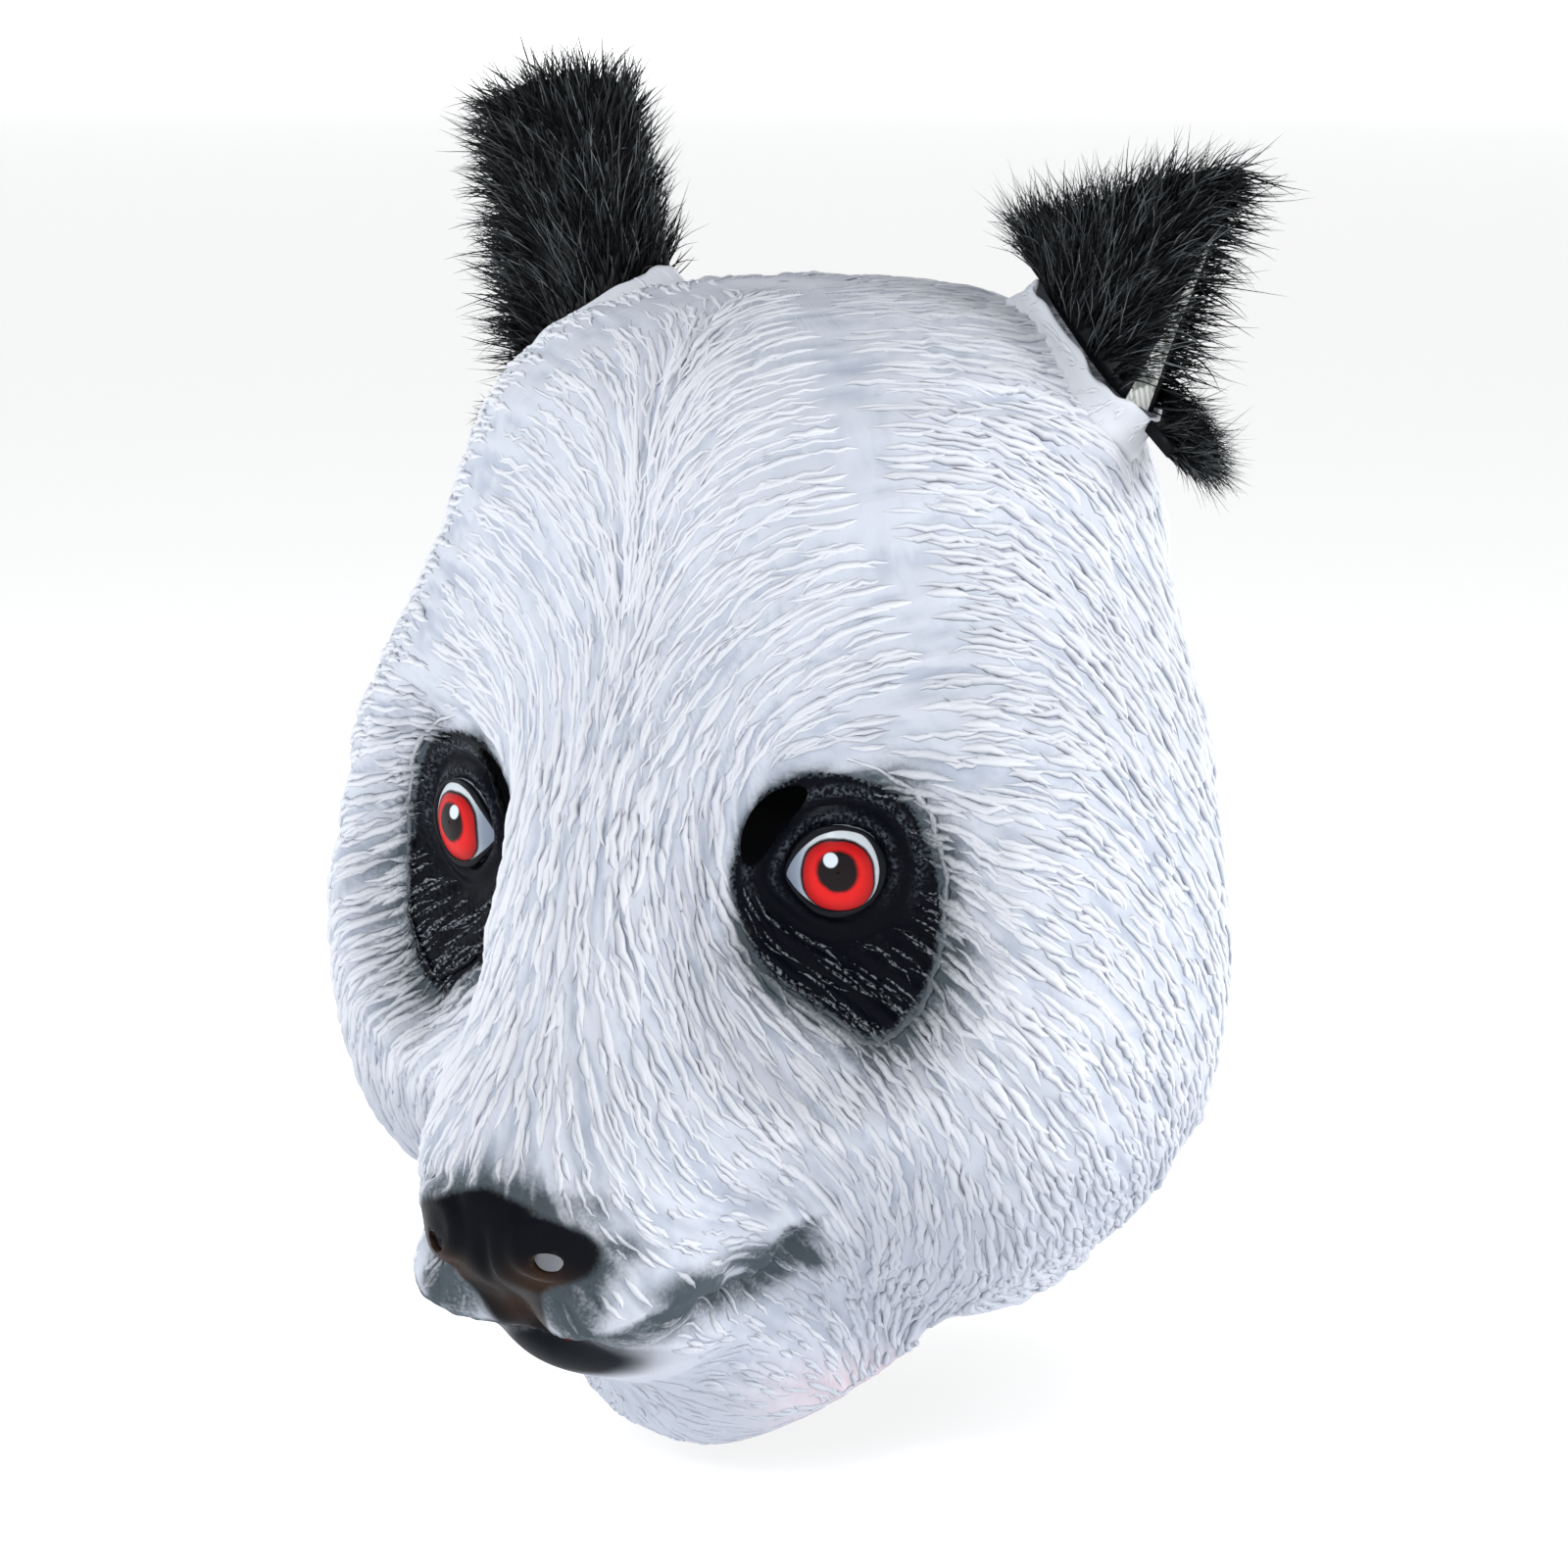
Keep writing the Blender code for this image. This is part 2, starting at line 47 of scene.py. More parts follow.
# Latex head: one thin casting, white with sculpted fur, painted black patches,
# nose and lip. It is worn over a head, and everything else is fixed to it.
HEAD_WIDTH = 0.270
HEAD_DEPTH = 0.270
HEAD_HEIGHT = 0.345
WALL = 0.002
SIDE_RIM = 0.298
FLAP_DROP = 0.041
FLAP_HALF = 0.070
FLAP_FRONT = 0.012
EYE_SPACING = 0.132
EYE_DROP = 0.155
EYE_FORWARD = 0.079
EYE_YAW = 22.0
EYEBALL_RADIUS = 0.0215
EYEBALL_REACH = 0.019
EYEBALL_SINK = 0.0012    # the casting under the painted eyeball lies this much deeper
SOCKET_WIDTH = 0.078
SOCKET_HEIGHT = 0.104
SOCKET_DROP = 0.008
SOCKET_FLOOR = 0.008
SOCKET_BOWL = 0.034
SLOT_RADIUS = 0.0255
SLOT_WIDTH = 0.0100
SLOT_FROM = 112.0
SLOT_TO = 176.0
SLOT_CENTRE_DROP = 0.002
NOSTRIL_SPACING = 0.037
NOSTRIL_WIDTH = 0.0078
NOSTRIL_HEIGHT = 0.0060
NOSTRIL_DROP = 0.2545
SEAT_SPREAD = 0.652      # between the seats' centres, as a share of the head's width
SEAT_SHIFT = 0.0296      # both seats sit this share of half the width towards the right
SEAT_BACK = 0.137        # behind the ears' plane, as a share of the head's depth
SEAT_DROP = 0.055        # below the crown, as a share of the head's height
SEAT_YAW = 34.0
SEAT_SLOPE = 32.0
SEAT_ROLL = 28.0
SEAT_WIDTH = 0.062
SEAT_DEPTH = 0.034
SEAT_SWELL = 0.016
LIP_FLARE = 0.0060
CORE_DROP = 0.507
COLUMNS = 360
ROWS = 208
COARSE = 3               # a first, coarser grid has one row and column for this many

# Forms that blend into the head, as shares of half its width, of its depth and height.
# both sides, x, y, z, rx, ry, rz, pitch, blend, plan power, side power
FORMS = [
    (False, 0.00, 0.048, -0.319, 0.785, 0.367, 0.319, 0, 0.00, 2.3, 2.9),
    (True, 0.31, -0.022, -0.487, 0.655, 0.278, 0.267, 0, 0.11, 3.0, 2.4),
    (True, 0.38, -0.030, -0.620, 0.590, 0.270, 0.232, 0, 0.11, 3.0, 2.2),
    (False, 0.00, 0.104, -0.740, 0.635, 0.296, 0.275, 0, 0.09, 2.4, 2.4),
    (False, 0.00, -0.220, -0.620, 0.560, 0.170, 0.200, 0, 0.13, 2.0, 2.0),
    (False, 0.00, -0.319, -0.458, 0.215, 0.104, 0.290, -24, 0.12, 2.0, 2.0),
    (False, 0.00, -0.400, -0.701, 0.348, 0.163, 0.119, 0, 0.09, 2.0, 2.0),
    (True, 0.15, -0.437, -0.777, 0.163, 0.096, 0.052, 0, 0.03, 2.0, 2.0),
    (False, 0.00, -0.515, -0.722, 0.200, 0.063, 0.052, -12, 0.03, 2.4, 2.4),
    (False, 0.00, -0.326, -0.835, 0.259, 0.133, 0.052, 0, 0.04, 2.0, 2.0),
    (False, 0.00, -0.059, -0.864, 0.370, 0.267, 0.145, 0, 0.07, 2.2, 2.0),
]

# Outline of a black patch round its eye's centre: outward and up, in millimetres
PATCH_OUTLINE = [
    (-12, 26), (-2, 26.5), (9, 24), (18.5, 18), (24, 8), (27, -1), (28, -11), (26.5, -22), (24, -32),
    (19.5, -40), (13, -45.5), (7, -46.5), (-1, -42), (-10, -37), (-18, -31.5), (-24.5, -24.5),
    (-28.5, -16), (-30.5, -6), (-29.5, 3), (-26.5, 12), (-21, 20.5),
]
# Outline of the painted eyeball inside its lids, the same way
EYE_OUTLINE = [
    (-16.0, -1.9), (-12.8, 4.6), (-7.8, 9.7), (-2.5, 11.7), (2.5, 11.7), (7.0, 10.2), (10.4, 6.2),
    (11.9, 0.8), (10.6, -5.2), (6.6, -10.0), (0.2, -12.4), (-6.0, -11.6), (-11.2, -8.1), (-14.4, -4.9),
]
# Outline of the painted nose seen from the front: across and below the crown, in millimetres
NOSE_OUTLINE = [
    (0, -236), (8, -238), (16, -241), (23, -243.5), (28, -247), (30, -252), (27.5, -258), (21, -261.5),
    (15, -264), (11, -270), (9, -278), (7, -285), (0, -287),
]

# Lean of the fur strokes from straight down towards the ear side, in degrees.
# One row for each drop below the crown, one column for each angle from the face
LEAN_ANGLES = [0, 12, 24, 36, 50, 65, 80, 120, 180]
LEAN = {
    30: [0, -40, -67, -85, 82, 69, 72, 40, 0],
    60: [0, -42, -62, -78, 86, 68, 50, 30, 0],
    90: [0, -38, -48, -60, -85, 62, 32, 25, 0],
    120: [0, -18, -25, -72, 84, 72, 32, 25, 0],
    150: [0, 7, 10, -88, 70, 60, 50, 30, 0],
    180: [0, 28, 36, 58, 55, 47, 46, 30, 0],
    210: [0, 33, 48, 50, 40, 42, 46, 35, 0],
    240: [0, 35, 58, 40, 18, 37, 48, 40, 0],
    270: [0, 40, 52, 34, 4, 30, 55, 50, 0],
    300: [0, 54, 52, 48, 25, 5, 75, 60, 0],
    330: [0, 50, 56, 60, 25, 10, 60, 60, 0],
}


def smoothstep(low, high, x):
    """Rise from 0 at low to 1 at high without a kink."""
    t = np.clip((x - low) / (high - low), 0.0, 1.0)
    return t * t * (3.0 - 2.0 * t)


def soft_min(a, b, blend):
    """Smaller of two distances, rounded where they are within blend of each other."""
    if blend <= 0.0:
        return np.minimum(a, b)
    near = np.maximum(blend - np.abs(a - b), 0.0) / blend
    return np.minimum(a, b) - near * near * blend * 0.25


def form_distance(points, centre, radii, pitch, plan, side):
    """Distance to one rounded form, measured along the line to its centre."""
    d = points - centre
    turn = np.radians(pitch)
    y = np.cos(turn) * d[:, 1] + np.sin(turn) * d[:, 2]
    z = np.cos(turn) * d[:, 2] - np.sin(turn) * d[:, 1]
    level = (np.abs(d[:, 0] / radii[0]) ** plan + np.abs(y / radii[1]) ** plan) ** (1.0 / plan)
    reach = (level ** side + np.abs(z / radii[2]) ** side) ** (1.0 / side) + 1e-9
    return np.linalg.norm(d, axis=1) * (1.0 - 1.0 / reach)


def seat_axes(hand):
    """Centre of an ear seat's top, and its long, forward and outward directions."""
    yaw, slope, roll = np.radians([SEAT_YAW, SEAT_SLOPE, SEAT_ROLL])
    centre = np.array([(hand * SEAT_SPREAD - SEAT_SHIFT) * HEAD_WIDTH / 2,
                       SEAT_BACK * HEAD_DEPTH, -SEAT_DROP * HEAD_HEIGHT])
    along = np.array([np.cos(slope) * np.cos(yaw), -np.cos(slope) * np.sin(yaw), -np.sin(slope)])
    level = np.array([-np.sin(yaw), -np.cos(yaw), 0.0])
    upright = np.cross(along, level)
    upright *= np.sign(upright[2])
    normal = np.cos(roll) * upright - np.sin(roll) * level
    front = np.cos(roll) * level + np.sin(roll) * upright
    flip = np.array([hand, 1.0, 1.0])
    return centre, along * flip, front * flip, normal * flip


def head_distance(points):
    """Distance to the whole head, negative inside; z is measured from the crown."""
    total = None
    unit = np.array([HEAD_WIDTH / 2, HEAD_DEPTH, HEAD_HEIGHT])
    for both, x, y, z, rx, ry, rz, pitch, blend, plan, side in FORMS:
        for hand in ((1, -1) if both else (1,)):
            centre = np.array([x * hand, y, z]) * unit
            radii = np.array([rx, ry, rz]) * unit
            d = form_distance(points, centre, radii, pitch, plan, side)
            total = d if total is None else soft_min(total, d, blend * HEAD_WIDTH)
    for hand in (1, -1):
        centre, along, front, normal = seat_axes(hand)
        d = points - centre + normal * SEAT_SWELL
        share = np.stack([2 * d @ along / SEAT_WIDTH, 2 * d @ front / SEAT_DEPTH, d @ normal / SEAT_SWELL])
        reach = np.linalg.norm(share, axis=0) + 1e-9
        swell = np.linalg.norm(d, axis=1) * (1.0 - 1.0 / reach) + LIP_FLARE * 0.5
        total = soft_min(total, swell, SEAT_SWELL)
    return total


CORE = np.array([0.0, 0.0, -CORE_DROP * HEAD_HEIGHT])


def cast(directions):
    """Distance from the core to the skin along each direction, by halving."""
    far = HEAD_DEPTH * 0.85
    near = HEAD_DEPTH * 0.08
    high = np.full(len(directions), far)
    low = np.full(len(directions), near)
    open_rays = np.ones(len(directions), bool)
    for reach in np.linspace(far, near, 32)[1:]:
        todo = np.where(open_rays)[0]
        if len(todo) == 0:
            break
        hit = todo[head_distance(CORE + directions[todo] * reach) < 0.0]
        low[hit] = reach
        open_rays[hit] = False
        high[np.where(open_rays)[0]] = reach
    for _ in range(12):
        middle = (high + low) / 2
        inside = head_distance(CORE + directions * middle[:, None]) < 0.0
        low = np.where(inside, middle, low)
        high = np.where(inside, high, middle)
    return (high + low) / 2


def rim_level(points):
    """Height of the rim: level, with a rounded flap hanging at the throat."""
    front = smoothstep(FLAP_FRONT + 0.018, FLAP_FRONT - 0.022, points[..., 1])
    across = np.clip(1.0 - (points[..., 0] / FLAP_HALF) ** 2, 0.0, 1.0)
    return -SIDE_RIM - FLAP_DROP * front * across


def spread(columns, rows):
    """Plan angle of each column and share of the way from crown to rim of each row."""
    t = np.linspace(-np.pi, np.pi, columns, endpoint=False)
    phi = t - 0.50 * np.sin(t - 0.25) - np.pi / 2
    share = np.linspace(0.0, 1.0, rows + 1)[1:]
    return phi, share + 0.055 * np.sin(np.pi * share)


def aim(theta, phi):
    """Directions at angle theta from straight up and plan angle phi."""
    level = np.sin(theta)
    return np.stack([level * np.cos(phi), level * np.sin(phi), np.cos(theta) + 0 * phi], axis=-1)


def rim_angles(phi):
    """Angle from straight up at which the skin crosses the rim's level, for each column."""
    tries = np.linspace(np.radians(100), np.radians(176), 90)
    lean = aim(tries[:, None], phi[None, :])
    reach = cast(lean.reshape(-1, 3)).reshape(lean.shape[:2])
    skin = CORE + lean * reach[..., None]
    above = skin[..., 2] - rim_level(skin)
    first = np.argmax(above < 0.0, axis=0)
    column = np.arange(len(phi))
    start, end = above[first - 1, column], above[first, column]
    return tries[first - 1] + start / (start - end) * (tries[1] - tries[0])


def sample(field, i, j):
    """Value of a grid field between its rows and columns, the columns closing in a loop."""
    i = np.clip(i, 0.0, field.shape[0] - 1.001)
    top, left = np.floor(i).astype(int), np.floor(j).astype(int)
    f, g = i - top, j - left
    if field.ndim == 3:
        f, g = f[..., None], g[..., None]
    a, b = left % field.shape[1], (left + 1) % field.shape[1]
    upper = field[top, a] * (1 - g) + field[top, b] * g
    lower = field[top + 1, a] * (1 - g) + field[top + 1, b] * g
    return upper * (1 - f) + lower * f


def closed_curve(corners, count):
    """Smooth closed line through the corners, as count points."""
    corners = np.array(corners, float)
    t = np.linspace(0.0, len(corners), count, endpoint=False)
    k = t.astype(int)
    f = (t - k)[:, None]
    a, b, c, d = (corners[(k + step) % len(corners)] for step in (-1, 0, 1, 2))
    square, cube = 2 * a - 5 * b + 4 * c - d, 3 * b - a - 3 * c + d
    return 0.5 * (2 * b + (c - a) * f + square * f ** 2 + cube * f ** 3)


def outline_distance(u, v, line):
    """Distance to a closed line, negative inside: the nearest piece, and a count of crossings."""
    best = np.full(u.shape, 1e9)
    inside = np.zeros(u.shape, bool)
    for (au, av), (bu, bv) in zip(line, np.roll(line, -1, axis=0)):
        run = (bu - au) ** 2 + (bv - av) ** 2 + 1e-12
        share = np.clip(((u - au) * (bu - au) + (v - av) * (bv - av)) / run, 0.0, 1.0)
        best = np.minimum(best, np.hypot(u - au - share * (bu - au), v - av - share * (bv - av)))
        if av != bv:
            crossing = ((av > v) != (bv > v)) & (u < (bu - au) * (v - av) / (bv - av) + au)
            inside ^= crossing
    return np.where(inside, -best, best)


def eye_axes(hand):
    """Centre of an eye and its outward, up and forward directions."""
    yaw = np.radians(EYE_YAW)
    centre = np.array([hand * EYE_SPACING / 2, -EYE_FORWARD, -EYE_DROP])
    across = np.array([hand * np.cos(yaw), np.sin(yaw), 0.0])
    out = np.array([hand * np.sin(yaw), -np.cos(yaw), 0.0])
    return centre, across, np.array([0.0, 0.0, 1.0]), out


def eye_place(points):
    """Place of each point in its own side's eye frame, in millimetres."""
    place = np.zeros(points.shape)
    for hand in (1, -1):
        side = points[..., 0] * hand >= 0.0
        centre, across, up, out = eye_axes(hand)
        d = points[side] - centre
        place[side] = np.stack([d @ across, d @ up, d @ out], axis=-1) * 1000
    return place


def patch_distance(points):
    """Millimetres from the edge of the black patch, negative inside, 60 far from it."""
    u, v, w = np.moveaxis(eye_place(points), -1, 0)
    v = np.where((points[..., 0] < 0.0) & (v < 0.0), v / 1.12, v)
    far = np.full(u.shape, 60.0)
    near = (np.hypot(u, v + 8.0) < 62.0) & (w > -40.0)
    far[near] = outline_distance(u[near], v[near], closed_curve(PATCH_OUTLINE, 120))
    return far


def lid_distance(points):
    """Millimetres from the edge of the painted eyeball, negative inside, 30 far from it."""
    u, v, w = np.moveaxis(eye_place(points), -1, 0)
    far = np.full(u.shape, 30.0)
    near = (np.hypot(u, v) < 34.0) & (w > -40.0)
    far[near] = outline_distance(u[near], v[near], closed_curve(EYE_OUTLINE, 90))
    return far


def nose_distance(points):
    """Millimetres from the edge of the painted nose, negative inside, 40 far from it."""
    x, z = np.abs(points[..., 0]) * 1000, points[..., 2] * 1000
    far = np.full(x.shape, 40.0)
    near = (x < 50.0) & (np.abs(z + 258.0) < 44.0) & (points[..., 1] < -0.09)
    both = NOSE_OUTLINE + [(-a, b) for a, b in NOSE_OUTLINE[-2:0:-1]]
    far[near] = outline_distance(x[near], z[near], closed_curve(both, 120))
    return far


def lip_line(x):
    """Height of the upper lip's lower edge at a distance from the middle, in metres."""
    x = np.abs(x) * 1000
    at = [0, 6, 12, 21, 30, 41, 47, 52, 57, 64]
    drop = [-285, -282, -280, -278.5, -276.5, -271.5, -266.5, -260.5, -255.5, -252]
    return np.interp(x, at, drop) / 1000


def sink_eyes(points):
    """Press the two eye sockets into the skin and raise the eyeball in each."""
    moved = points.copy()
    for hand in (1, -1):
        centre, across, up, out = eye_axes(hand)
        d = moved - centre
        u, v, w = d @ across, d @ up, d @ out
        ring = np.hypot(2 * u / SOCKET_WIDTH, 2 * (v + SOCKET_DROP) / SOCKET_HEIGHT)
        inside = smoothstep(1.30, 0.90, ring) * (w > -EYE_SPACING / 3)
        floor = -SOCKET_FLOOR * np.exp(-(u / SOCKET_BOWL) ** 2 - (v / SOCKET_BOWL) ** 2)
        sunk = soft_min(w, floor, 0.006)
        ball = np.sqrt(np.clip(EYEBALL_RADIUS ** 2 - u ** 2 - v ** 2, 0.0, None)) - EYEBALL_RADIUS
        on_ball = np.hypot(u, v) < EYEBALL_REACH
        sunk = np.where(on_ball, np.maximum(sunk, ball - EYEBALL_SINK), sunk)
        moved += ((sunk - w) * inside)[:, None] * out
    return moved


def bump_at(value, centre, width):
    """Rounded rise of height one where the value is at the centre, gone about two widths away."""
    return np.exp(-((value - centre) / width) ** 2)


def carve(points, normals):
    """Lids, nose wings, lip edge and mouth corners, as one height along the normals.

    Each form is a rounded rise or groove, in millimetres, at a set distance from its line.
    """
    u, v, _ = np.moveaxis(eye_place(points), -1, 0)
    lid = lid_distance(points)
    fold = 0.55 + 0.45 * smoothstep(-40.0, 40.0, v + 0.6 * u)
    above_eye = smoothstep(-30.0, 20.0, np.degrees(np.arctan2(v, u)))
    lid_roll, lid_groove, brow = bump_at(lid, 3.0, 2.6), bump_at(lid, 7.4, 1.5), bump_at(lid, 10.2, 1.8)
    rise = 2.3 * lid_roll - 1.0 * lid_groove * fold + 1.0 * brow * fold * above_eye
    rise = np.where(lid < 0.0, np.maximum(rise - 1.2 - 0.5 * np.abs(lid), -3.5), rise)

    x, y, z = np.abs(points[..., 0]) * 1000, points[..., 1] * 1000, points[..., 2] * 1000
    front = smoothstep(-85.0, -100.0, y)
    wing = np.hypot((x - 20.0) / 11.5, (z + 250.0) / 10.0)
    wing_groove = bump_at(wing, 1.32, 0.16) * smoothstep(4.0, 14.0, x)
    cleft = bump_at(x, 0.0, 1.5) * smoothstep(-244.0, -252.0, z) * smoothstep(-286.0, -280.0, z)
    rise += front * (0.9 * bump_at(wing, 0.85, 0.22) - 1.6 * wing_groove - 1.5 * cleft)

    above = z - lip_line(points[..., 0]) * 1000
    mouth = smoothstep(-66.0, -82.0, y) * smoothstep(63.0, 53.0, x) * smoothstep(-240.0, -250.0, z)
    over = smoothstep(-1.3, 1.3, above)
    rise += mouth * (2.6 * over * bump_at(above, 0.0, 9.0) - 2.0 * (1 - over) * bump_at(above, 0.0, 4.5))
    pocket = np.hypot((x - 56.0) / 7.0, (z + 262.0) / 5.0)
    corner = 1.5 * bump_at(pocket, 1.7, 0.5) - 2.6 * bump_at(pocket, 0.0, 0.8)
    rise += smoothstep(-70.0, -85.0, y) * corner
    return points + normals * rise[..., None] / 1000


def grid_normals(points, crown):
    """Outward directions of a grid whose rows run down from the crown."""
    along = np.roll(points, -1, axis=1) - np.roll(points, 1, axis=1)
    padded = np.concatenate([np.broadcast_to(crown, (1,) + points.shape[1:]), points, points[-1:]], axis=0)
    normal = np.cross(padded[2:] - padded[:-2], along)
    return normal / (np.linalg.norm(normal, axis=-1, keepdims=True) + 1e-12)


def head_grid():
    """Outer skin as rows of points and the crown's point: a coarse cast, then settled on a fine grid."""
    phi, share = spread(COLUMNS, ROWS)
    coarse_phi, coarse_share = spread(COLUMNS // COARSE, ROWS // COARSE)
    rim = rim_angles(coarse_phi)
    turn = np.arange(COLUMNS) / COARSE
    last = np.interp(turn, np.arange(len(rim) + 1), np.append(rim, rim[0]))
    lean = aim(coarse_share[:, None] * rim[None, :], coarse_phi[None, :])
    reach = cast(lean.reshape(-1, 3)).reshape(lean.shape[:2])
    i = np.interp(share, coarse_share, np.arange(len(coarse_share)))
    i, j = np.broadcast_arrays(i[:, None], turn[None, :])
    reach = sample(reach, i, j).ravel()
    flat = aim(share[:, None] * last[None, :], phi[None, :]).reshape(-1, 3)
    for _ in range(6):
        reach = reach - 0.85 * np.clip(head_distance(CORE + flat * reach[:, None]), -0.004, 0.004)
    points = sink_eyes(CORE + flat * reach[:, None]).reshape(ROWS, COLUMNS, 3)
    up = np.array([[0.0, 0.0, 1.0]])
    crown = (CORE + up * cast(up)[:, None])[0]
    points = carve(points, grid_normals(points, crown))
    return points, crown


skin, crown = head_grid()
normals = grid_normals(skin, crown)

# Metric of the grid: how far one row and one column go, and how far a column leans along the rows
down = np.gradient(skin, axis=0) * 1000
around = (np.roll(skin, -1, axis=1) - np.roll(skin, 1, axis=1)) * 500
row_length = np.linalg.norm(down, axis=-1) + 1e-6
unit_down = down / row_length[..., None]
column_lean = (around * unit_down).sum(-1)
column_length = np.linalg.norm(around - column_lean[..., None] * unit_down, axis=-1) + 1e-6


def stroke_lean(points):
    """Twice the lean of the fur as its cosine and sine, between the table's rows and columns."""
    drop = -points[..., 2] * 1000
    shift = 0.004 * smoothstep(-0.16, -0.09, points[..., 2])
    bearing = np.degrees(np.arctan2(points[..., 0] - shift, -points[..., 1]))
    levels = sorted(LEAN)
    table = np.radians(2.0 * np.array([LEAN[level] for level in levels]))
    last_row, last_column = table.shape[0] - 1.001, table.shape[1] - 1.001
    i = np.clip(np.interp(drop, levels, np.arange(len(levels))), 0, last_row)
    j = np.clip(np.interp(np.abs(bearing), LEAN_ANGLES, np.arange(len(LEAN_ANGLES))), 0, last_column)
    return sample(np.cos(table), i, j), sample(np.sin(table), i, j) * np.sign(bearing)


lean_cos, lean_sin = stroke_lean(skin)


def grid_step(i, j, heading, turn=0.0):
    """Rows and columns that one millimetre along the fur takes, keeping to the last heading."""
    angle = 0.5 * np.arctan2(sample(lean_sin, i, j), sample(lean_cos, i, j)) + turn
    cos, sin = np.cos(angle), np.sin(angle)
    same = np.where(heading[0] * cos + heading[1] * sin < 0.0, -1.0, 1.0)
    cos, sin = cos * same, sin * same
    columns = sin / sample(column_length, i, j)
    rows = (cos - columns * sample(column_lean, i, j)) / sample(row_length, i, j)
    return rows, columns, (cos, sin)


def comb(noise, reach, steps):
    """Noise drawn out along the fur on both sides of each point."""
    total = noise.copy()
    start_i, start_j = np.indices((ROWS, COLUMNS)).astype(float)
    for sign in (1.0, -1.0):
        i, j = start_i.copy(), start_j.copy()
        first = 0.5 * np.arctan2(lean_sin, lean_cos)
        heading = (np.cos(first) * sign, np.sin(first) * sign)
        for _ in range(steps):
            rows, columns, heading = grid_step(i, j, heading)
            i, j = i + rows * reach / steps, j + columns * reach / steps
            total += sample(noise, i, j)
    total -= total.mean()
    return total / total.std()


random = np.random.default_rng(4)
grain = comb(random.normal(size=(ROWS, COLUMNS)), 9.0, 10)
swell = comb(sample(random.normal(size=(ROWS // 3, COLUMNS // 3)),
                    *np.meshgrid(np.arange(ROWS) / 3.02, np.arange(COLUMNS) / 3.0, indexing="ij")), 16.0, 10)


def fur_strength(points):
    """How strongly the fur is sculpted: bare on the nose, the eyes and the lip, faint at the throat."""
    bare = smoothstep(0.5, 4.0, nose_distance(points)) * smoothstep(7.0, 12.0, lid_distance(points))
    x, y, z = np.moveaxis(points, -1, 0)
    throat = smoothstep(-0.335, -0.285, z) + smoothstep(0.045, 0.080, np.abs(x))
    lip = smoothstep(0.034, 0.026, np.abs(x)) * (y < -0.092) * (z < lip_line(x) + 0.002)
    return bare * np.clip(0.40 + throat, 0.0, 1.0) * (1.0 - lip)


strength = fur_strength(skin) * smoothstep(1.0, 9.0, np.arange(ROWS))[:, None]
relief = (0.20 * grain + 0.34 * swell) * strength
skin = skin + normals * relief[..., None] / 1000
normals = grid_normals(skin, crown)


def to_part(points):
    """From heights below the outer crown to the part's frame, whose origin is inside it."""
    return points + np.array([0.0, 0.0, WALL])


def mesh_piece(name, points, faces, material, smooth=True, **attributes):
    """Object from points, faces and one number for each point under each attribute's name."""
    mesh = bpy.data.meshes.new(name)
    mesh.from_pydata(np.asarray(points).tolist(), [], [tuple(face) for face in faces])
    for key, values in attributes.items():
        layer = mesh.attributes.new(key, "FLOAT", "POINT")
        layer.data.foreach_set("value", np.asarray(values, dtype=np.float32).ravel())
    if smooth:
        mesh.shade_smooth()
    mesh.materials.append(material)
    made = bpy.data.objects.new(name, mesh)
    bpy.context.scene.collection.objects.link(made)
    return made


def loop_quads(rows, columns, start=0, closed_rows=False):
    """Quads between neighbouring rows of a grid that closes around its columns."""
    row, column = np.meshgrid(np.arange(rows if closed_rows else rows - 1), np.arange(columns), indexing="ij")
    after, below = (column + 1) % columns, (row + 1) % rows
    upper, lower = row * columns, below * columns
    quads = np.stack([upper + column, upper + after, lower + after, lower + column])
    return (quads.reshape(4, -1).T + start).tolist()


class Wire:
    """Output of a shader node, so that sums on it are written as plain arithmetic."""

    def __init__(self, paint, socket):
        self.paint, self.socket = paint, socket

    def maths(self, operation, *values):
        return self.paint.node("ShaderNodeMath", {"operation": operation}, *values)

    def __add__(self, other):
        return self.maths("ADD", self, other)

    def __mul__(self, other):
        return self.maths("MULTIPLY", self, other)

    def __sub__(self, other):
        return self.maths("SUBTRACT", self, other)

    def __rsub__(self, other):
        return self.maths("SUBTRACT", other, self)

    def __pow__(self, other):
        return self.maths("POWER", self, other)

    def __abs__(self):
        return self.maths("ABSOLUTE", self)

    __radd__ = __add__
    __rmul__ = __mul__


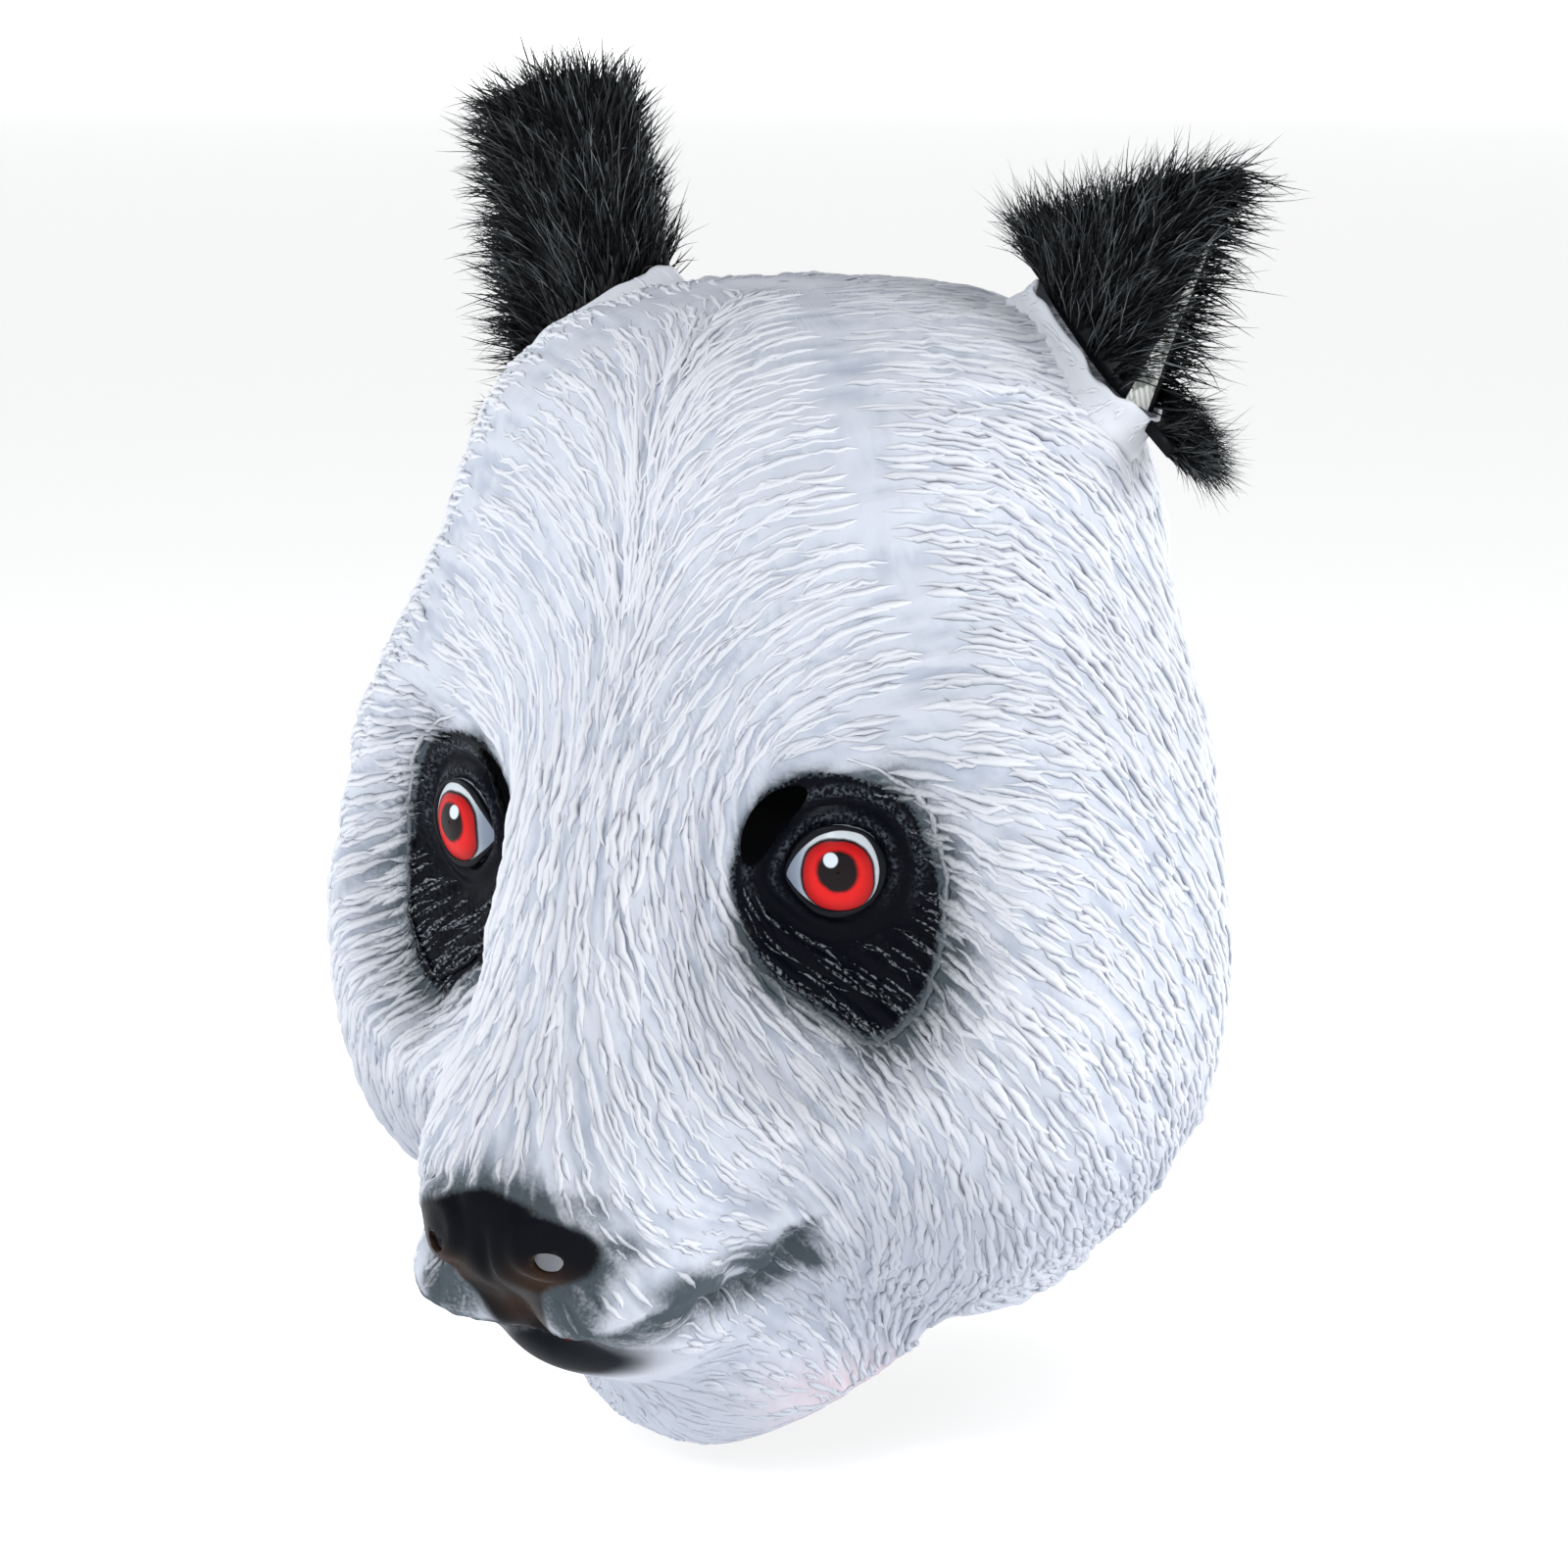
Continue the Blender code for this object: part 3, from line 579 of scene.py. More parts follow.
class Paint:
    """A new Principled material and the nodes that feed it."""

    def __init__(self, name, **constants):
        self.material = bpy.data.materials.new(name)
        self.material.use_nodes = True
        self.tree = self.material.node_tree
        self.shader = self.tree.nodes["Principled BSDF"]
        for key, value in constants.items():
            self.feed(key.replace("_", " "), value)

    def node(self, kind, settings, *values, output=0, **named):
        """A node of that kind with its settings, and a value or a wire for each input."""
        made = self.tree.nodes.new(kind)
        for key, value in settings.items():
            setattr(made, key, value)
        for slot, value in zip(made.inputs, values):
            self.join(slot, value)
        for key, value in named.items():
            self.join(made.inputs[key.replace("_", " ")], value)
        return Wire(self, made.outputs[output])

    def join(self, slot, value):
        """Link a wire, or set a number or a colour of three numbers; None leaves the socket alone."""
        if isinstance(value, Wire):
            self.tree.links.new(value.socket, slot)
        elif value is not None:
            slot.default_value = (*value, 1.0) if slot.type == "RGBA" else value

    def feed(self, name, value):
        """Set or link one of the shader's own inputs."""
        self.join(self.shader.inputs[name], value)

    def attribute(self, name):
        return self.node("ShaderNodeAttribute", {"attribute_name": name}, output="Fac")

    def place(self):
        return self.node("ShaderNodeTexCoord", {}, output="Object")

    def noise(self, vector, scale, detail):
        return self.node("ShaderNodeTexNoise", {}, Vector=vector, Scale=scale, Detail=detail)

    def step(self, value, low, high):
        """Smooth rise from 0 at low to 1 at high, or a fall where low is the higher one."""
        start, end = (0.0, 1.0) if low < high else (1.0, 0.0)
        low, high = min(low, high), max(low, high)
        return self.node("ShaderNodeMapRange", {"interpolation_type": "SMOOTHSTEP"}, output="Result",
                         Value=value, From_Min=low, From_Max=high, To_Min=start, To_Max=end)

    def mix(self, factor, a, b):
        """Colour a turning into colour b as the factor goes from 0 to 1."""
        return self.node("ShaderNodeMix", {"data_type": "RGBA"}, factor, *[None] * 5, a, b, output=2)

    def bump(self, height, strength, distance):
        return self.node("ShaderNodeBump", {}, Height=height, Strength=strength, Distance=distance)


LATEX_WHITE = (0.76, 0.78, 0.84)
LATEX_CLOUD = (0.66, 0.69, 0.77)
# grey washing and painted shade in the fur: the skin between the locks darker, most of all in the grain's
# valleys
GROOVE_WASH_AND_SHADE = (0.30, 0.36, 0.46)
# painted shade on the underside, where the skin faces down
UNDERSIDE_SHADE_GREY = (0.34, 0.37, 0.44)
# grey airbrush round the patches and nose, and painted shade under the lip and in the mouth's creases
AIRBRUSH_AND_SHADE_GREY = (0.030, 0.046, 0.056)
THROAT_PINK = (0.80, 0.50, 0.52)
PATCH_BLACK = (0.0022, 0.0030, 0.0058)
# painted highlight: grey on the upper lids' ridges
LID_HIGHLIGHT_GREY = (0.13, 0.15, 0.18)
NOSE_SLATE = (0.0035, 0.0045, 0.0070)
NOSE_BROWN = (0.040, 0.022, 0.014)
LIP_BLACK = (0.0065, 0.0085, 0.0120)
LIP_RED = (0.30, 0.012, 0.012)
# painted shade: the inner wall near-black
INSIDE_SHADE_GREY = (0.020, 0.021, 0.024)
BROAD, FINE, CLOUDY = 28.0, 900.0, 9.0    # scales of the noises, per metre


def latex_paint():
    """White latex with painted shade and grey-blue washing in the fur, grey airbrush, painted shade
    underneath, round the mouth and on the inner wall, a painted highlight on the upper lids, black patches,
    dark nose and lip.
    """
    paint = Paint("painted_latex", Specular_IOR_Level=0.04)
    place = paint.place()
    fine = paint.noise(place, FINE, 3.0)
    broad = paint.noise(place, BROAD, 3.0)
    colour = paint.mix(paint.noise(place, CLOUDY, 2.0), LATEX_CLOUD, LATEX_WHITE)
    grain = paint.attribute("grain")
    # grey washing and painted shade in the fur: darker between the locks and in the grain's valleys
    wash_and_shade = (0.30 + paint.step(grain, 0.6, -2.0) * 0.35) * paint.attribute("fur")
    colour = paint.mix(wash_and_shade, colour, GROOVE_WASH_AND_SHADE)
    # painted shade where the skin faces down
    colour = paint.mix(paint.attribute("under") * 0.60, colour, UNDERSIDE_SHADE_GREY)
    streak = paint.step(grain, 1.3, -1.3)
    # grey airbrush, and painted shade under the lip and in the mouth's creases
    haze = paint.attribute("haze") * (0.20 + broad * 0.6 + fine * 0.8 + streak * 0.5)
    colour = paint.mix(paint.step(haze, 0.10, 1.05) * 0.93, colour, AIRBRUSH_AND_SHADE_GREY)
    colour = paint.mix(paint.attribute("pink") * 0.35, colour, THROAT_PINK)
    patch = paint.attribute("patch") + (broad - 0.5) * 6.0 + (fine - 0.5) * 5.0
    black = paint.step(patch, 0.9, -0.9)
    # painted highlight: grey on the ridges of the upper lid
    lid_highlight = paint.attribute("lid_highlight") * paint.step(fine, 0.42, 0.66) * 0.75
    colour = paint.mix(black, colour, paint.mix(lid_highlight, PATCH_BLACK, LID_HIGHLIGHT_GREY))
    slate = paint.step(paint.attribute("nose") + (fine - 0.5) * 2.0, 1.6, -1.2)
    colour = paint.mix(slate, colour, paint.mix(paint.attribute("brown"), NOSE_SLATE, NOSE_BROWN))
    lip = paint.attribute("lip") + (broad - 0.5) * 0.5
    colour = paint.mix(paint.step(lip, 0.25, 0.85), colour, LIP_BLACK)
    colour = paint.mix(paint.step(paint.attribute("red"), 0.3, 0.7), colour, LIP_RED)
    # painted shade: the inner wall above the mouth near-black, so the eye slots look dark
    colour = paint.mix(paint.attribute("inside"), colour, INSIDE_SHADE_GREY)
    paint.feed("Base Color", colour)
    paint.feed("Roughness", 0.50 + (fine - 0.5) * 0.14 - black * 0.20 - slate * 0.14)
    height = grain * 0.40 * paint.attribute("fur") + fine * 0.15 + broad * 0.25
    paint.feed("Normal", paint.bump(height, 0.60, 0.0007))
    return paint.material


def haze_amount(points):
    """Grey airbrush round the patches and the nose, and painted shade under the lip, in the mouth's corner
    and beside the nose's stem.

    Each falls off with the distance from its line or centre, and the strongest one counts.
    """
    patch = np.clip(patch_distance(points), 0.0, None)
    u, v, _ = np.moveaxis(eye_place(points), -1, 0)
    side = np.clip(smoothstep(0.0, 16.0, u) + 0.9 * smoothstep(-10.0, -30.0, v), 0.0, 1.3)
    round_patch = (0.85 + 0.35 * side) * np.exp(-patch / (2.4 + 6.4 * side))

    x, y, z = np.abs(points[..., 0]) * 1000, points[..., 1] * 1000, points[..., 2] * 1000
    front = smoothstep(-58.0, -74.0, y) * smoothstep(-240.0, -248.0, z)
    above = z - lip_line(points[..., 0]) * 1000
    # painted shade under the upper lip's overhang and in the mouth's corner
    below = np.where(above < 0.5, bump_at(above, 0.0, 10.5), np.exp(-above / 1.5))
    shade_under_lip = front * smoothstep(72.0, 56.0, x) * 0.98 * below
    corner = front * bump_at(np.hypot((x - 51.0) / 12.0, (z + 267.0) / 7.5), 0.0, 1.0)
    # painted shade in the crease beside the nose's stem
    pad = np.hypot((x - 19.0) / 12.5, (z + 270.0) / 9.5)
    shade_beside_stem = (y < -95.0) * 1.10 * np.exp(-pad ** 4)

    nose = np.clip(nose_distance(points), 0.0, None)
    beside = smoothstep(12.0, 24.0, x) * smoothstep(-242.0, -254.0, z)
    over = smoothstep(-249.0, -238.0, z)
    round_nose = np.exp(-nose / (1.8 + 4.5 * beside + 6.5 * over)) * (0.70 + 0.30 * np.maximum(beside, over))
    return np.max([round_patch, shade_under_lip, corner, shade_beside_stem, round_nose], axis=0)


def build_head():
    """The casting: the outer skin, a coarser inner skin a wall's thickness in, and the rim between them."""
    rough = (skin - normals * WALL)[1::2, ::2]
    inner_rows, inner_columns = rough.shape[:2]
    points = np.vstack([skin.reshape(-1, 3), rough.reshape(-1, 3), crown, crown - np.array([0, 0, WALL])])
    split = ROWS * COLUMNS
    faces = loop_quads(ROWS, COLUMNS)
    faces += [tuple(reversed(quad)) for quad in loop_quads(inner_rows, inner_columns, split)]
    edge, under = (ROWS - 1) * COLUMNS, split + (inner_rows - 1) * inner_columns
    top, low = len(points) - 2, len(points) - 1
    for j in range(inner_columns):
        k = (j + 1) % inner_columns
        faces.append((edge + 2 * j, edge + 2 * j + 1, edge + (2 * j + 2) % COLUMNS, under + k, under + j))
        faces.append((low, split + j, split + k))
    for j in range(COLUMNS):
        faces.append((top, (j + 1) % COLUMNS, j))
    return points, faces


points, faces = build_head()
head = mesh_piece("latex_head", to_part(points), faces, latex_paint())


def cutter(loop, start, run):
    """Closed prism over a loop of points, from start along run."""
    sides = len(loop)
    corners = np.vstack([loop + start, loop + start + run])
    faces = [tuple(range(sides)), tuple(range(2 * sides - 1, sides - 1, -1))]
    faces += [(k, (k + 1) % sides, sides + (k + 1) % sides, sides + k) for k in range(sides)]
    return to_part(corners), faces


def cut_openings(target):
    """Cut both see-through slots and both nostrils through the casting."""
    corners, faces = [], []
    for hand in (1, -1):
        centre, across, up, out = eye_axes(hand)
        share = np.linspace(0.0, 1.0, 25)
        angle = np.radians(SLOT_FROM + (SLOT_TO - SLOT_FROM) * share)
        half = SLOT_WIDTH / 2 * np.sin(np.pi * np.clip(share, 0.004, 0.996)) ** 0.45
        radius = np.concatenate([SLOT_RADIUS + half, (SLOT_RADIUS - half)[::-1]])
        angle = np.concatenate([angle, angle[::-1]])
        rise = radius * np.sin(angle) - SLOT_CENTRE_DROP
        loop = centre + (radius * np.cos(angle))[:, None] * across + rise[:, None] * up
        turns = 2 * np.pi * np.arange(28) / 28
        wide = NOSTRIL_WIDTH / 2 * np.cos(turns) * (1 + 0.15 * np.sin(turns))
        tall = NOSTRIL_HEIGHT / 2 * np.sin(turns) - NOSTRIL_DROP
        hole = np.stack([hand * NOSTRIL_SPACING / 2 + wide, 0 * turns - HEAD_DEPTH * 0.62, tall], axis=1)
        through_nose = np.array([0, 0.043, 0])
        for outline, start, run in ((loop, -0.030 * out, 0.070 * out), (hole, 0.0, through_nose)):
            more, sides = cutter(outline, start, run)
            count = sum(len(block) for block in corners)
            corners.append(more)
            faces += [tuple(k + count for k in face) for face in sides]
    tool = mesh_piece("openings_tool", np.vstack(corners), faces, target.data.materials[0], smooth=False)
    work = bmesh.new()
    work.from_mesh(tool.data)
    bmesh.ops.recalc_face_normals(work, faces=work.faces)
    work.to_mesh(tool.data)
    work.free()
    step = target.modifiers.new("openings", "BOOLEAN")
    step.operation = "DIFFERENCE"
    step.solver = "EXACT"
    step.object = tool
    bpy.context.view_layer.update()
    cut = bpy.data.meshes.new_from_object(target.evaluated_get(bpy.context.evaluated_depsgraph_get()))
    target.modifiers.clear()
    target.data = cut
    bpy.data.objects.remove(tool)


cut_openings(head)


flat = np.empty(len(head.data.vertices) * 3)
head.data.vertices.foreach_get("co", flat)
at = flat.reshape(-1, 3) - to_part(np.zeros(3))
x, y, z = at.T * 1000

# Each point of the cut casting takes the fur's numbers from the nearest point of the skin.
# The other numbers say how deep in each painted area it lies
flat_skin = skin.reshape(-1, 3)
tree = mathutils.kdtree.KDTree(len(flat_skin))
for index, place in enumerate(flat_skin):
    tree.insert(place, index)
tree.balance()
nearest = np.array([tree.find(place)[1] for place in at])
on_skin = smoothstep(0.0016, 0.0004, np.linalg.norm(flat_skin[nearest] - at, axis=1))
above = z - lip_line(at[:, 0]) * 1000
turned = normals.reshape(-1, 3)
lid = lid_distance(at)
lid_top = smoothstep(-14.0, 6.0, eye_place(at)[:, 1])
lip_shape = np.hypot(x / 27.0, (z + 292.0) / 9.5)
nostril = (np.hypot(np.abs(x) - NOSTRIL_SPACING * 500, z + NOSTRIL_DROP * 1000) < 7.0) * (y < -115.0)
brown_wing = np.exp(-((np.abs(x) - 15.0) / 8.0) ** 2 - ((z + 261.0) / 5.0) ** 2)
brown_stem = 0.8 * np.exp(-(x / 7.0) ** 2 - ((z + 274.0) / 7.0) ** 2) * (y < -110.0)
values = {
    "grain": grain.ravel()[nearest] * on_skin,
    "fur": strength.ravel()[nearest] * on_skin,
    "patch": patch_distance(at),
    "nose": nose_distance(at),
    # grey airbrush, and painted shade under the lip and in the mouth's creases
    "haze": haze_amount(at) * on_skin,
    "lip": smoothstep(0.9, -0.5, above) * (y < -92.0) * np.clip(1.45 - lip_shape, 0.0, 1.0),
    "brown": brown_wing + brown_stem + nostril * (1.0 - on_skin),
    # painted shade: how far the skin faces down
    "under": smoothstep(0.05, -0.55, turned[nearest][:, 2]) * on_skin,
    # painted highlight on the upper lids' ridges
    "lid_highlight": (bump_at(lid, 10.0, 1.2) + 0.7 * bump_at(lid, 3.0, 0.9)) * lid_top,
    "pink": smoothstep(-300.0, -322.0, z) * smoothstep(20.0, 50.0, np.abs(x)),
    "red": np.exp(-((x - 5.0) / 2.6) ** 2 - ((z + 286.0) / 1.4) ** 2) * (y < -100.0) * on_skin,
    # painted shade: the inner wall above the mouth, all but the nostrils
    "inside": (1.0 - on_skin) * (1.0 - nostril) * smoothstep(-275.0, -245.0, z),
}
for key, numbers in values.items():
    layer = head.data.attributes.new(key, "FLOAT", "POINT")
    layer.data.foreach_set("value", np.asarray(numbers, dtype=np.float32))
head.data.shade_smooth()
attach(head, "root")
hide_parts("mask_shell")

# Sculpted fur: raised locks cast with the head in the same latex. Each has a
# thin groove along one side, darkened with painted shade over grey washing, and they are
# combed out from the parting on the crown and round the patches.
LOCK_CELL = 0.0060       # one lock starts in each cube of this size
LOCK_POINTS = 6
LOCK_LENGTH = (10.0, 22.0)    # shortest and longest, in millimetres
LOCK_WIDTH = 0.00150     # half of the widest part
LOCK_HEIGHT = 0.00120
LOCK_TAPER = np.array([0.12, 0.70, 1.0, 0.95, 0.65, 0.10])

# Corners of a lock's section: across as a share of its half width, up as a share of
# its height, and how dark its painted groove shade, over grey washing, leaves it
LOCK_PROFILE = [(-1.0, -0.30, 1.0), (-0.58, 0.62, 0.45), (0.10, 1.0, 0.0), (1.0, -0.30, 0.12)]


def bar_mesh(paths, side, lift, width, height, profile):
    """Closed bars along paths: each corner of the section stands across and up from the path."""
    count, steps = paths.shape[:2]
    corners = len(profile)
    points = np.stack([paths + side * (row[0] * width[..., None]) + lift * (row[1] * height[..., None])
                       for row in profile], axis=2).reshape(-1, 3)
    bar, step, edge = np.meshgrid(np.arange(count), np.arange(steps - 1), np.arange(corners), indexing="ij")
    base = (bar * steps + step) * corners
    after = (edge + 1) % corners
    quads = np.stack([base + edge, base + after, base + corners + after, base + corners + edge], axis=-1)
    first = np.arange(count)[:, None] * steps * corners
    order = np.arange(corners)
    caps = np.concatenate([first + order[::-1], first + (steps - 1) * corners + order])
    return points, quads.reshape(-1, 4).tolist() + caps.tolist()


def lock_seeds(cell):
    """Random grid places, one in each small cube that the skin passes through."""
    many = 320000
    i = random.uniform(6, ROWS - 3, many)
    j = random.uniform(0, COLUMNS, many)
    weight = sample(row_length, i, j) * sample(column_length, i, j)
    keep = random.uniform(size=many) < weight / weight.max()
    i, j = i[keep], j[keep]
    cubes = np.floor(sample(skin, i, j) / cell).astype(np.int64)
    _, chosen = np.unique(cubes @ np.array([1, 1009, 1009 * 1009]), return_index=True)
    return i[chosen], j[chosen]


def lock_frames(surface, turned, i, j):
    """Points of the paths on a grid surface, with the directions across them and outward."""
    path = sample(surface, i.ravel(), j.ravel()).reshape(*i.shape, 3)
    lift = sample(turned, i.ravel(), j.ravel()).reshape(*i.shape, 3)
    lift /= np.linalg.norm(lift, axis=-1, keepdims=True)
    side = np.cross(lift, np.gradient(path, axis=1))
    return path, side / (np.linalg.norm(side, axis=-1, keepdims=True) + 1e-12), lift


def lock_paths():
    """Grid paths along the fur, bent a little, that keep off the nose, the lids and the lip's edge."""
    i, j = lock_seeds(LOCK_CELL)
    z = sample(skin, i, j)[:, 2]
    length = random.uniform(*LOCK_LENGTH, len(i)) * (1.0 + 0.25 * smoothstep(-0.13, -0.04, z))
    length *= 1.0 - 0.40 * smoothstep(-0.20, -0.24, z) * (np.abs(sample(skin, i, j)[:, 0]) < 0.06)
    angle = 0.5 * np.arctan2(sample(lean_sin, i, j), sample(lean_cos, i, j))
    heading = (np.cos(angle), np.sin(angle))
    bend = random.normal(0.0, 0.10, len(i))
    swing = random.normal(0.0, 0.13, len(i))
    rows_at, columns_at = [i], [j]
    for step in range(LOCK_POINTS - 1):
        rows, columns, heading = grid_step(i, j, heading, bend * (step - 1.5) + swing * (-1) ** step)
        i = np.clip(i + rows * length / (LOCK_POINTS - 1), 2, ROWS - 2)
        j = j + columns * length / (LOCK_POINTS - 1)
        rows_at.append(i)
        columns_at.append(j)
    i, j = np.stack(rows_at, axis=1), np.stack(columns_at, axis=1)
    power = sample(strength, i.ravel(), j.ravel()).reshape(i.shape)
    path = sample(skin, i.ravel(), j.ravel()).reshape(*i.shape, 3)
    above = path[..., 2] - lip_line(path[..., 0])
    at_lip = (path[:, 0, 1] < -0.080) & (np.abs(path[:, 0, 0]) < 0.058) & (path[:, 0, 2] < -0.244)
    crosses = at_lip & (above.min(axis=1) < 0.0012) & (above.max(axis=1) > -0.0012)
    u, v, w = np.moveaxis(eye_place(path), -1, 0)
    ring = np.abs(np.hypot(u, v + SLOT_CENTRE_DROP * 1000) - SLOT_RADIUS * 1000) < 7.5
    bearing = np.degrees(np.arctan2(v, u)) % 360.0
    crosses |= (ring & (bearing > SLOT_FROM - 6.0) & (bearing < SLOT_TO + 6.0) & (w > -40.0)).any(axis=1)
    good = (power.min(axis=1) > 0.15) & ~crosses & (power[:, 0] > random.uniform(0.0, 0.55, len(i)))
    return i[good], j[good], power[good]


SEAM_POINTS = 150
SEAM_WIDTH = 0.0013      # half of the widest part
SEAM_HEIGHT = 0.0011


def patch_seam(hand):
    """Raised bead of latex outside the patch, from its top round the ear side to its lower tip."""
    count = np.arange(float(SEAM_POINTS))
    line = closed_curve(PATCH_OUTLINE, 240)
    line = np.roll(line, -12, axis=0)[:SEAM_POINTS]
    run = np.gradient(line, axis=0)
    away = np.stack([-run[:, 1], run[:, 0]], axis=1) / np.linalg.norm(run, axis=1, keepdims=True)
    wobble = 0.35 * np.sin(count * 0.31) + 0.25 * np.sin(count * 0.73)
    line = line + away * (1.2 + 3.4 * smoothstep(60.0, 15.0, count) + wobble)[:, None]
    flat, turned = skin.reshape(-1, 3), normals.reshape(-1, 3)
    own = np.where((flat[:, 0] * hand > 0.0) & (flat[:, 1] < -0.02))[0]
    u, v, w = eye_place(flat[own]).T
    near = np.array([np.argsort((u - a) ** 2 + (v - b) ** 2 + (w < -40.0) * 1e6)[:5] for a, b in line])
    height = np.convolve(np.pad(w[near].mean(axis=1), 3, mode="edge"), np.ones(7) / 7, mode="valid")
    centre, across, up, out = eye_axes(hand)
    path = centre + (line[:, :1] * across + line[:, 1:] * up + height[:, None] * out) / 1000
    lift = turned[own][near].mean(axis=1)
    lift /= np.linalg.norm(lift, axis=1, keepdims=True)
    side = np.cross(lift, np.gradient(path, axis=0))
    side /= np.linalg.norm(side, axis=1, keepdims=True)
    fade = np.minimum(smoothstep(0, 24, count), smoothstep(SEAM_POINTS - 1, SEAM_POINTS - 20, count))
    rough = 1.0 + 0.22 * np.sin(count * 0.9) + 0.15 * np.sin(count * 2.3)
    width, tall = SEAM_WIDTH * (0.35 + 0.65 * fade) * rough, SEAM_HEIGHT * fade * rough
    profile = [(-1.0, -0.3), (-0.4, 0.85), (0.4, 0.85), (1.0, -0.3)]
    return bar_mesh(path[None], side[None], lift[None], width[None], tall[None], profile)


LOCK_WHITE = (0.79, 0.81, 0.86)
LOCK_CLOUD = (0.68, 0.71, 0.78)
LOCK_SHADE = (0.060, 0.085, 0.130)
# painted highlight: grey glints on the crests of the black locks
GLINT_GREY = (0.26, 0.29, 0.32)


def lock_paint():
    """The head's own white with painted shade over grey washing in each groove, painted shade underneath,
    grey airbrush with painted shade round the mouth, or glossy black on a patch with painted glints on the
    crests.
    """
    paint = Paint("latex_with_painted_groove_shade", Specular_IOR_Level=0.06)
    place = paint.place()
    broad, fine = paint.noise(place, BROAD, 3.0), paint.noise(place, FINE, 3.0)
    white = paint.mix(paint.noise(place, CLOUDY, 2.0), LOCK_CLOUD, LOCK_WHITE)
    shade = paint.attribute("shade")
    # painted shade along each lock's groove
    colour = paint.mix(shade * 0.94, white, LOCK_SHADE)
    # painted shade on locks that face down
    colour = paint.mix(paint.attribute("under") * 0.60, colour, UNDERSIDE_SHADE_GREY)
    # grey airbrush, and painted shade under the lip and in the mouth's creases
    haze = paint.attribute("haze") * (0.15 + broad * 0.6 + fine * 0.6 + shade * 0.6)
    colour = paint.mix(paint.step(haze, 0.12, 1.05) * 0.90, colour, AIRBRUSH_AND_SHADE_GREY)
    black = paint.step(paint.attribute("patch") + (broad - 0.5) * 6.0 + (fine - 0.5) * 4.0, 0.9, -0.9)
    # painted glints: grey on the crests of the locks on a patch
    glint = paint.step(shade, 0.16, 0.03) * paint.step(fine, 0.44, 0.62)
    colour = paint.mix(black, colour, paint.mix(glint * 0.8, PATCH_BLACK, GLINT_GREY))
    paint.feed("Base Color", colour)
    paint.feed("Roughness", 0.48 - black * 0.18)
    return paint.material


i, j, power = lock_paths()
path, side, lift = lock_frames(skin, normals, i, j)
size = random.uniform(0.65, 1.35, (len(path), 1)) * LOCK_TAPER
on_patch = smoothstep(2.0, -2.0, patch_distance(path))
brow = smoothstep(-0.150, -0.100, path[..., 2]) * smoothstep(0.085, 0.060, np.abs(path[..., 0]))
muzzle = smoothstep(-0.205, -0.235, path[..., 2]) * smoothstep(0.065, 0.045, np.abs(path[..., 0]))
width = LOCK_WIDTH * size * (1.0 - 0.42 * on_patch - 0.30 * brow - 0.30 * muzzle)
height = LOCK_HEIGHT * size * (0.35 + 0.65 * power) * (1.0 - 0.30 * on_patch - 0.45 * brow - 0.35 * muzzle)
# how dark each lock's painted groove shade goes
depth = random.uniform(0.35, 1.0, (len(path), 1)) * (1.0 - 0.30 * brow)
shaded_lock_paint = lock_paint()
for hand, side_name in ((1, "left"), (-1, "right")):
    own = path[:, 0, 0] * hand >= 0.0
    points, faces = bar_mesh(path[own], side[own], lift[own], width[own], height[own], LOCK_PROFILE)
    # painted shade across each lock, darkest in its groove
    shade = depth[own][:, :, None] * np.array([row[2] for row in LOCK_PROFILE])
    place = np.repeat(path[own].reshape(-1, 3), len(LOCK_PROFILE), axis=0)
    bead, ridge = patch_seam(hand)
    faces += [tuple(k + len(points) for k in face) for face in ridge]
    points = np.vstack([points, bead])
    # painted shade at the bead's feet, none on its top
    shade = np.append(shade, np.tile([0.9, 0.25, 0.0, 0.9], len(bead) // 4))
    place = np.vstack([place, bead])
    # painted shade on locks that face down
    under = smoothstep(0.05, -0.55, lift[own][..., 2]).repeat(len(LOCK_PROFILE))
    locks = mesh_piece("sculpted_fur_" + side_name, to_part(points), faces, shaded_lock_paint,
                       shade=shade, patch=patch_distance(place), haze=haze_amount(place),
                       under=np.append(under, np.zeros(len(bead))))
    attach(locks, "root")

# Painted eyes: each eyeball is part of the casting, painted white, red and
# black under a gloss coat, with a thin black rim where the lids meet it.
EYE_RINGS = 36
EYE_SIDES = 96
RIM_RADIUS = 0.0009
RIM_LIFT = 0.0006
EYE_MARGIN = 0.0006      # the painted cap runs this far under the rim
CAP_LIFT = 0.0004


SCLERA_WHITE = (0.60, 0.65, 0.70)
SCLERA_SHADE = (0.24, 0.29, 0.37)
IRIS_LINE = (0.006, 0.004, 0.006)
IRIS_EDGE = (0.30, 0.006, 0.008)
IRIS_RED = (0.72, 0.012, 0.012)
PUPIL_BLACK = (0.007, 0.003, 0.004)
HIGHLIGHT = (0.66, 0.74, 0.82)
LID_BLACK = (0.004, 0.005, 0.008)


